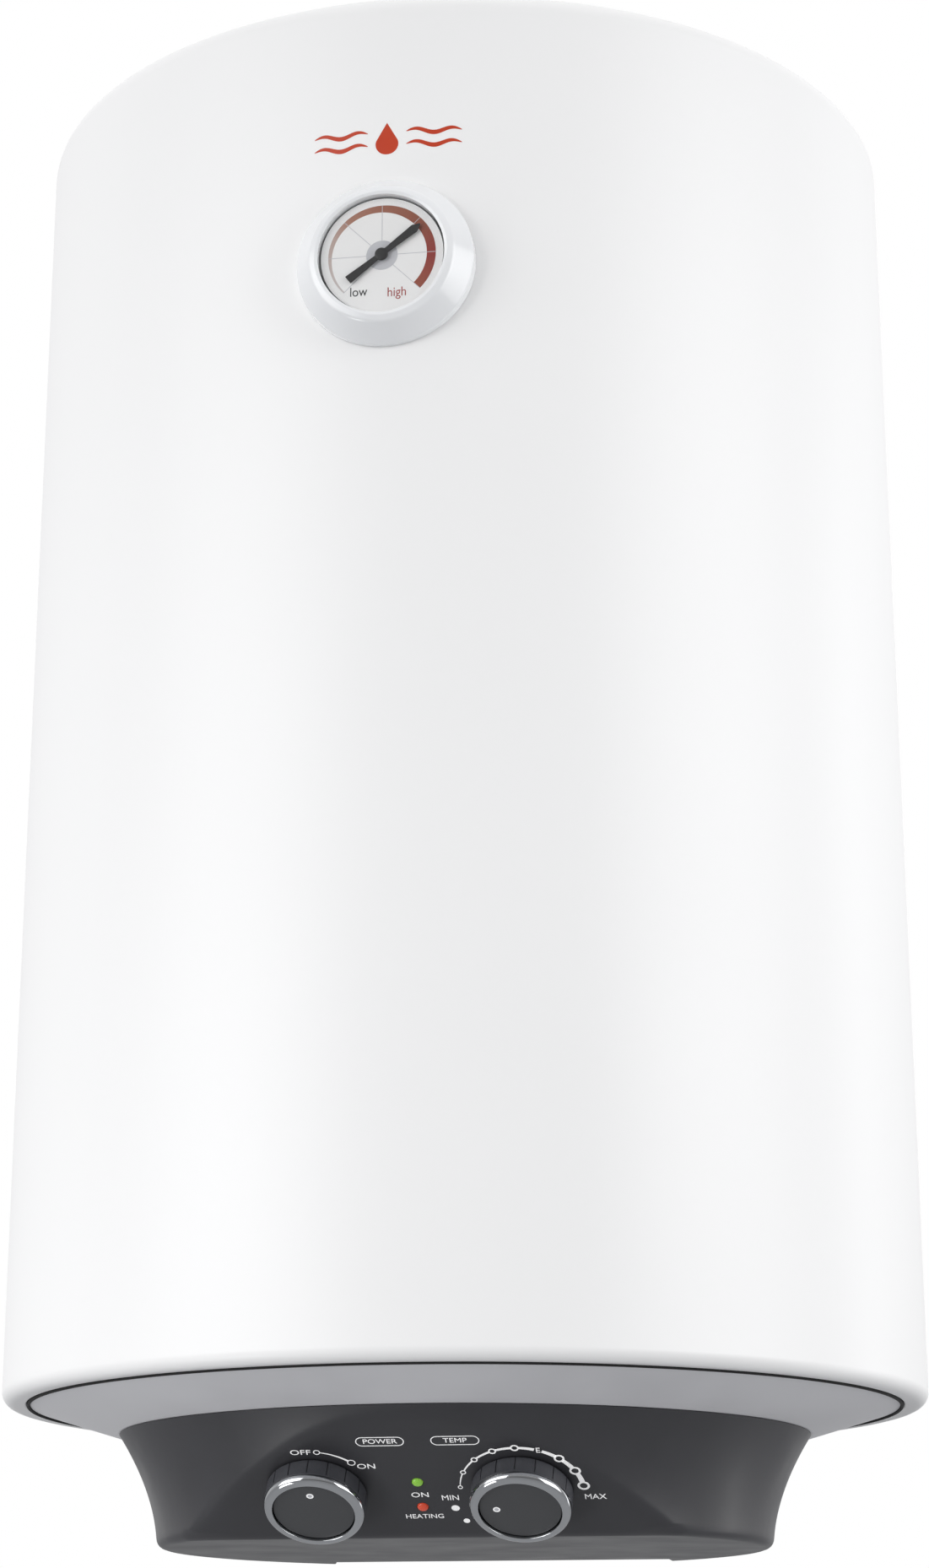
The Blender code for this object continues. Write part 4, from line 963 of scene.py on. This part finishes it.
def sweep_line(centre, radius, start, end, width_start, width_end):
    """A line round a knob that widens as it goes; angles in degrees clockwise from straight up."""
    steps = max(int(abs(end - start) / 2), 3)
    rows = []
    for i in range(steps + 1):
        share = i / steps
        angle = math.radians(start + (end - start) * share)
        half = (width_start + (width_end - width_start) * share) / 2
        section = [(radius - half, INK_LOW), (radius + half, INK_LOW), (radius + half, INK_HIGH),
                   (radius - half, INK_HIGH)]
        rows.append([(centre + r * math.sin(angle), r * math.cos(angle), z) for r, z in section])
    return closed(rows)


def legends():
    """The panel's white print: captions in pills, the on-off arc and the growing temperature scale."""
    ink = []
    for x, text in CAPTIONS:
        ink.append(outline_ring((x, CAPTION_UP), *CAPTION_HALF))
        ink.append(word(text, CAPTION_TYPE, (x, CAPTION_UP), 1.05))
    ink += power_scale(-KNOB_X)
    ink += temperature_scale(KNOB_X)
    green, red = LAMPS_UP["green_lamp_lens"], LAMPS_UP["red_lamp_lens"]
    ink.append(word("ON", LEGEND_TYPE, (0, (green + red) / 2 - 0.3 * MM), 1.15))
    ink.append(word("HEATING", SMALL_TYPE, (0, red - 6.6 * MM)))
    piece("panel_legends", together(ink), GLOWING_WHITE_INK, PANEL)


def on_circle(centre, radius, degrees):
    """A point round a knob whose axis is at (centre, 0), turned clockwise from straight up."""
    angle = math.radians(degrees)
    return centre + radius * math.sin(angle), radius * math.cos(angle)


def power_scale(centre):
    """OFF and ON, each with its circle, and the line between them."""
    radius = POWER_SCALE_R
    ring_off, ring_on = 1.35 * MM, 1.7 * MM
    clear_off, clear_on = (math.degrees(r / radius) for r in (ring_off, ring_on))
    return [
        outline_ring(on_circle(centre, radius, OFF_TURN), ring_off, ring_off),
        outline_ring(on_circle(centre, radius, ON_TURN), ring_on, ring_on),
        sweep_line(centre, radius, OFF_TURN + clear_off, ON_TURN - clear_on, LINE, 1.0 * MM),
        word("OFF", LEGEND_TYPE, (centre - 3.2 * MM, radius - 0.4 * MM), WIDE),
        word("ON", LEGEND_TYPE, (centre + 25.4 * MM, radius - 10.4 * MM), WIDE),
    ]


def grown(small, large, number):
    """What a size has grown to at a mark of the temperature scale."""
    return small + (large - small) * (number / (MARKS - 1))


def some_marks(centre, start, count):
    """Part of the temperature scale's circles, growing at the whole row's rate."""
    sizes = [grown(MARK_SMALL, MARK_LARGE, n) / MARK_SMALL for n in (start, start + count - 1)]
    mark = flat_ring(MARK_SMALL - LINE / 2, MARK_SMALL + LINE / 2, 24)
    row = repeated(moved(mark, Matrix.Diagonal((sizes[0], sizes[0], 1, 1))), count, TEMPERATURE_SCALE_R,
                   90 - MARK_FIRST - start * MARK_STEP, -MARK_STEP, GLOWING_WHITE_INK, sizes[1] / sizes[0])
    return moved(row, Matrix.Translation((centre, 0, 0)))


def temperature_scale(centre):
    """Marks whose circles and joining line grow with the temperature; E is the sparing setting."""
    radius = TEMPERATURE_SCALE_R
    ink = [some_marks(centre, 0, SPARING), some_marks(centre, SPARING + 1, MARKS - SPARING - 1)]
    ink.append(word("E", LEGEND_TYPE, on_circle(centre, radius, MARK_FIRST + SPARING * MARK_STEP)))
    for i in range(MARKS - 1):
        clear = [math.degrees(grown(MARK_SMALL, MARK_LARGE, n) / radius) for n in (i, i + 1)]
        widths = [grown(LINE, 2.4 * MM, n) for n in (i, i + 1)]
        start, end = MARK_FIRST + i * MARK_STEP + clear[0], MARK_FIRST + (i + 1) * MARK_STEP - clear[1]
        ink.append(sweep_line(centre, radius, start, end, *widths))
    for text, turn, out in LIMITS:
        ink.append(word(text, LIMIT_TYPE, on_circle(centre, out, turn), NARROW))
    for turn, out, size in LOW_DOTS:
        ink.append(peg(size, INK_LOW, INK_HIGH, on_circle(centre, out, turn)))
    return ink


def wrapped(shape):
    """Bends flat print in the drum's frame (x across, y up, z out) round the drum."""
    for vertex in shape.verts:
        x, y, z = vertex.co
        out = DRUM_R + z
        vertex.co = (out * math.sin(x / DRUM_R), -out * math.cos(x / DRUM_R), y)
    return shape


def emblem():
    """A plain sign for hot water in the badge's place: a drop between two pairs of waves."""
    up = GAUGE_UP + BADGE_UP
    tall = 17 * MM
    drop_r = 5.6 * MM
    heart = (0, up - tall / 2 + drop_r)
    edge = arc(drop_r, -200, 20, 28, heart) + [(0, up + tall / 2)]
    rows = []
    inward = (0, 0.5, 1)  # rings between the drop's heart and its edge, so that it bends with the drum
    for share, z in [(n, INK_LOW) for n in inward] + [(n, INK_HIGH) for n in reversed(inward)]:
        row = [(x * share, heart[1] + (y - heart[1]) * share, z) for x, y in edge]
        rows.append(row if share else row[:1])
    shapes = [skin(rows)]
    for side in (-1, 1):
        for level in (-1, 1):
            shapes.append(wave(side * 23 * MM, up + level * 3.4 * MM))
    piece("water_sign", wrapped(together(shapes)), BADGE_INK)


def wave(middle, height):
    """One and a half waves, level on the drum, whose ends thin out."""
    rows = []
    steps = 36
    for i in range(steps + 1):
        share = i / steps
        x = middle + (share - 0.5) * WAVE_LENGTH
        y = height + WAVE_SWING * math.sin(share * math.tau * 1.5)
        half = WAVE_WIDTH / 2 * math.sqrt(max(math.sin(share * math.pi), 0.02))
        edges = ((y - half, INK_LOW), (y + half, INK_LOW), (y + half, INK_HIGH), (y - half, INK_HIGH))
        rows.append([(x, up, z) for up, z in edges])
    tips = [[(row[0][0], height, 0)] for row in (rows[0], rows[-1])]
    return skin([tips[0]] + rows + [tips[1]])


# ---- Back and underside --------------------------------------------------------------------
THREAD_PITCH = 1.814 * MM  # half-inch pipe thread, 14 to the inch
THREAD_DEPTH = 1.1 * MM
THREAD_ROWS = 6  # rings of points in one pitch
THREAD_TURNS = 10
THREAD_RUN_OUT = 2  # turns over which the thread fades into the plain tube
PIPE_WALL = 2 * MM
GLAND_BORE = 4.5 * MM
GLAND_NECK = 7.8 * MM
GLAND_RIBS = 18
BOLT_HEAD_R, BOLT_HEAD_H = 7.2 * MM, 5.3 * MM
BOLT_SHANK_R, BOLT_LENGTH = 3.9 * MM, 12 * MM
BOLT_SEAT = 3.6 * MM  # from the drum's face to the bolts' washer faces
SCREW_HEAD_H = 2.6 * MM
SCREW_SHANK_R = 1.9 * MM
CROSS_ARM, CROSS_HALF, CROSS_DEPTH = 2.0 * MM, 0.35 * MM, 1.3 * MM


def upright(node):
    """A frame on an upright CAD piece's axis, at the drum's lower edge."""
    x, y = node_axis(node)
    return HEATER @ Matrix.Translation((x, y, 0))


def pipe(name):
    """A steel stub with its pipe thread at the lower end."""
    node = f"{name}_pipe"
    at = upright(node)
    low, high, outer = reach(node, at)
    bore = outer - PIPE_WALL
    steps = THREAD_TURNS * THREAD_ROWS
    rows = [ring(bore, high, SMALL), ring(bore, low + 0.8 * MM, SMALL), ring(bore + 0.6 * MM, low, SMALL),
            ring(outer - THREAD_DEPTH, low, SMALL)]
    for i in range(1, steps + 1):
        height = low + i * THREAD_PITCH / THREAD_ROWS
        fade = min(1.0, (steps - i) / (THREAD_RUN_OUT * THREAD_ROWS))
        points = []
        for px, py, _ in ring(1, 0, SMALL):
            lead = (height / THREAD_PITCH - math.atan2(py, px) / math.tau) % 1
            depth = THREAD_DEPTH * fade * abs(2 * lead - 1)
            points.append((px * (outer - depth), py * (outer - depth), height))
        rows.append(points)
    rows.append(ring(outer, high, SMALL))
    piece(f"{name}_water_pipe", skin(rows, loop=True), STEEL, at, stands_for=[node])


def collar(name, finish):
    """The pipe's coloured plastic collar, pushed into the bottom ring."""
    node = f"{name}_collar"
    at = upright(node)
    low, high, outer = reach(node, at)
    bore = PIPE_R + 0.3 * MM
    sleeve = bore + 1.4 * MM
    seat = reach("bottom_cover", HEATER)[0] - 0.3 * MM
    outline = eased([(bore, low, 0.4 * MM), (outer, low, 1.0 * MM), (outer, seat, 0.3 * MM), (sleeve, seat),
                     (sleeve, high, 0.3 * MM), (bore, high)], 3)
    piece(f"{name}_pipe_collar", turned(outline, SMALL), finish, at, stands_for=[node])


def gland():
    """The cable gland: a domed, ribbed nut round an open mouth."""
    at = gland_frame()
    low, high, head = reach("cable_gland", at)
    seat, brim = 0.3 * MM, 5.5 * MM
    grip = 0.6 * MM  # how far the ribs stand out from the nut
    outline = eased([
        (GLAND_BORE, low), (GLAND_NECK, low, 0.5 * MM), (GLAND_NECK, seat), (head - grip, seat),
        (head - grip, brim, 0.8 * MM), (GLAND_NECK, high, 1.5 * MM), (GLAND_BORE, high, 1.0 * MM)], 4)
    body = turned(outline, SMALL)
    rib = box(-grip, grip, -0.5 * MM, 0.5 * MM, seat, brim - grip)
    ribs = repeated(rib, GLAND_RIBS, head - 0.62 * MM, 0, 360 / GLAND_RIBS, BLACK_PA)
    piece("cable_gland_nut", together([body, ribs]), BLACK_PA, at, stands_for=["cable_gland"])


def hex_bolt():
    """A hexagon bolt lying along +X, its washer face at X = 0 and its shank towards -X."""
    turns = [math.tau * i / 6 for i in range(6)]
    hexagon = [(BOLT_HEAD_R * math.cos(a), BOLT_HEAD_R * math.sin(a)) for a in turns]
    flat = BOLT_HEAD_R * math.cos(math.pi / 6)
    wide, shoulder = BOLT_HEAD_R * 1.3, BOLT_HEAD_H - 1.6 * MM
    head = loose("bolt", slab(hexagon, 0.4 * MM, BOLT_HEAD_H))
    crown = [(0, -BOLT_HEAD_H), (wide, -BOLT_HEAD_H), (wide, shoulder), (flat * 0.93, BOLT_HEAD_H),
             (0, BOLT_HEAD_H)]
    carve(head, turned(crown, 36), "INTERSECT")
    crowned = bmesh.new()
    crowned.from_mesh(head.data)
    discard(head)
    flange = turned(eased([(0, 0), (flat, 0), (flat, 0.5 * MM, 0.2 * MM), (0, 0.5 * MM)], 2), 36)
    shank = peg(BOLT_SHANK_R, -BOLT_LENGTH, 0.1 * MM, facets=24)
    return moved(together([crowned, flange, shank]), Matrix.Rotation(math.pi / 2, 4, "Y"))


def bracket_bolts():
    """Four bolts through the bracket's feet, all set square to the drum."""
    feet = [f"bracket_bolt_{side}_{level}" for side in ("left", "right") for level in ("lower", "upper")]
    spots = {node: HEATER.inverted() @ (sum(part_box(node), Vector()) / 2) for node in feet}
    shapes = []
    for level in ("lower", "upper"):
        left = spots[f"bracket_bolt_left_{level}"]
        right = spots[f"bracket_bolt_right_{level}"]
        first = math.degrees(math.atan2(right.y, right.x))
        step = math.degrees(math.atan2(left.y, left.x)) - first
        pair = repeated(hex_bolt(), 2, DRUM_R + BOLT_SEAT, first, step, ZINC)
        shapes.append(moved(pair, Matrix.Translation((0, 0, right.z))))
    piece("bracket_bolts", together(shapes), ZINC, stands_for=feet)


def screws():
    """The housing's two pan-head screws with cross recesses, driven up from below."""
    for number in (1, 2):
        node = f"housing_screw_{number}"
        at = upright(node)
        low, high, head = reach(node, at)
        top = low + SCREW_HEAD_H
        outline = eased([
            (0, low), (head, low, 1.6 * MM), (head, top), (SCREW_SHANK_R, top),
            (SCREW_SHANK_R, high - 1 * MM), (0, high)], 4)
        screw = loose(f"cross_head_screw_{number}", turned(outline, 32), at)
        for half_x, half_y in ((CROSS_ARM, CROSS_HALF), (CROSS_HALF, CROSS_ARM)):
            carve(screw, moved(box(-half_x, half_x, -half_y, half_y, low - 1 * MM, low + CROSS_DEPTH), at))
        mounted(screw, ZINC, stands_for=[node])


def copied(node):
    """A CAD node's mesh as a shape, its loose triangles merged and its flats made whole."""
    shape = bmesh.new()
    shape.from_mesh(frame["nodes"][node].data)
    bmesh.ops.remove_doubles(shape, verts=shape.verts, dist=0.001 * MM)
    bmesh.ops.dissolve_limit(shape, angle_limit=math.radians(1), verts=shape.verts, edges=shape.edges)
    return shape


def wall_fixings():
    """The bracket and the lower rest as they were made, with their pressed edges eased."""
    here = Matrix.Identity(4)
    piece("hanging_bracket", copied("wall_bracket"), ZINC, here, stands_for=["wall_bracket"],
          ease=0.5 * MM)
    piece("wall_rest_block", copied("lower_wall_rest"), RUBBER, here, stands_for=["lower_wall_rest"],
          ease=1.5 * MM)


def dress_inner_pieces():
    """Gives every CAD node that stays the finish of its material slot."""
    for row in frame["record"]["subparts"]:
        if row["material_slot"] in INNER:
            for place in frame["nodes"][row["node"]].material_slots:
                place.material = INNER[row["material_slot"]]


# ---- Studio --------------------------------------------------------------------------------
SKY_SIDE = Vector((-0.15, 0.45, 0.88))  # where the surround is brightest
SKY_LOW, SKY_HIGH, SKY_POWER = 0.02, 1.06, 1.35  # its least and most light, and how late it rises
FLOOR_DROP = 1.0  # from the drum's lower edge down to the floor


def softbox(name, place, target, width, height, power, spread):
    """A soft light at a place, facing a target; sizes in metres, power in watts, spread in degrees."""
    light = bpy.data.lights.new(name, "AREA")
    light.shape = "RECTANGLE"
    light.size = width
    light.size_y = height
    light.energy = power
    light.spread = math.radians(spread)
    lamp = bpy.data.objects.new(name, light)
    lamp.location = place
    lamp.rotation_euler = (Vector(target) - Vector(place)).to_track_quat("-Z", "Y").to_euler()
    bpy.context.scene.collection.objects.link(lamp)


def surround():
    """A white surround to the camera, which lights the heater softly from above and behind."""
    world = bpy.data.worlds.new("white_surround")
    world.use_nodes = True
    tree = world.node_tree
    toward = add(tree, "ShaderNodeTexCoord").outputs["Generated"]
    height = add(tree, "ShaderNodeVectorMath", {0: toward, 1: SKY_SIDE}, operation="DOT_PRODUCT")
    rise = add(tree, "ShaderNodeMapRange", {"Value": height.outputs["Value"], "From Min": -1.0})
    steeper = add(tree, "ShaderNodeMath", {0: rise.outputs[0], 1: SKY_POWER}, operation="POWER")
    power = add(tree, "ShaderNodeMapRange",
                {"Value": steeper.outputs[0], "To Min": SKY_LOW, "To Max": SKY_HIGH})
    light = add(tree, "ShaderNodeBackground", {"Color": colour("F9F9FA"), "Strength": power.outputs[0]})
    seen = add(tree, "ShaderNodeBackground", {"Color": (1, 1, 1, 1), "Strength": 1.0})
    camera_ray = add(tree, "ShaderNodeLightPath").outputs["Is Camera Ray"]
    mix = add(tree, "ShaderNodeMixShader", {0: camera_ray, 1: light.outputs[0], 2: seen.outputs[0]})
    tree.links.new(mix.outputs[0], tree.nodes["World Output"].inputs["Surface"])
    bpy.context.scene.world = world


def studio():
    """A pale floor under the hung heater, a white surround and soft boxes."""
    middle = HEATER.translation + Vector((0, 0, DRUM_H / 2))
    low = HEATER.translation - Vector((0, 0.12, 0.02))
    floor_z = HEATER.translation.z - FLOOR_DROP
    floor = loose("floor", box(-6, 6, -6, 6, floor_z - 0.02, floor_z))
    # Floor paint, rolled: pale grey, matt, with a faint roller texture.
    paint = surface("floor_paint_pale_rolled", ("A8A9AB", "AEAFB1"), (0.6, 0.7), 0.6, 0.01, 0.05 * MM)
    floor.data.materials.append(paint)
    surround()
    flank = middle - Vector((0, 0, 0.2))
    softbox("key_left", middle + Vector((-1.85, -1.85, 0.35)), middle, 2.4, 2.2, 10.8, 80)
    softbox("key_right", middle + Vector((2.2, -0.8, 0.3)), middle, 2.0, 2.2, 10, 80)
    softbox("rim_right", middle + Vector((1.85, 1.05, -0.2)), flank, 0.5, 2.2, 1.1, 80)
    softbox("low_left", low + Vector((-0.95, -0.75, -0.75)), low, 0.5, 0.5, 0.45, 60)


def camera():
    """Stands below the drum's lower edge and a little to the right, looking up."""
    distance, height, yaw, tilt = 1.665, -0.158, math.radians(9.7), math.radians(19.315)
    view = bpy.data.cameras.new("camera")
    view.lens = 76.2
    view.sensor_width = 36
    view.shift_x = -0.0005
    view.shift_y = -0.1232
    eye = bpy.data.objects.new("camera", view)
    eye.location = HEATER @ Vector((distance * math.sin(yaw), -distance * math.cos(yaw), height))
    eye.rotation_euler = (math.pi / 2 + tilt, 0, yaw)
    bpy.context.scene.collection.objects.link(eye)
    bpy.context.scene.camera = eye
    bpy.context.scene.view_settings.view_transform = "Standard"


drum()
lid()
bottom_ring()
housing()
lamps()
knob("power", power_spot, 0)
knob("temperature", temperature_spot, 90)
bezel()
dial()
pointer()
lens()
legends()
emblem()
pipe("hot")
pipe("cold")
collar("hot", RED_PA)
collar("cold", BLUE_PA)
gland()
bracket_bolts()
screws()
wall_fixings()
dress_inner_pieces()
studio()
camera()
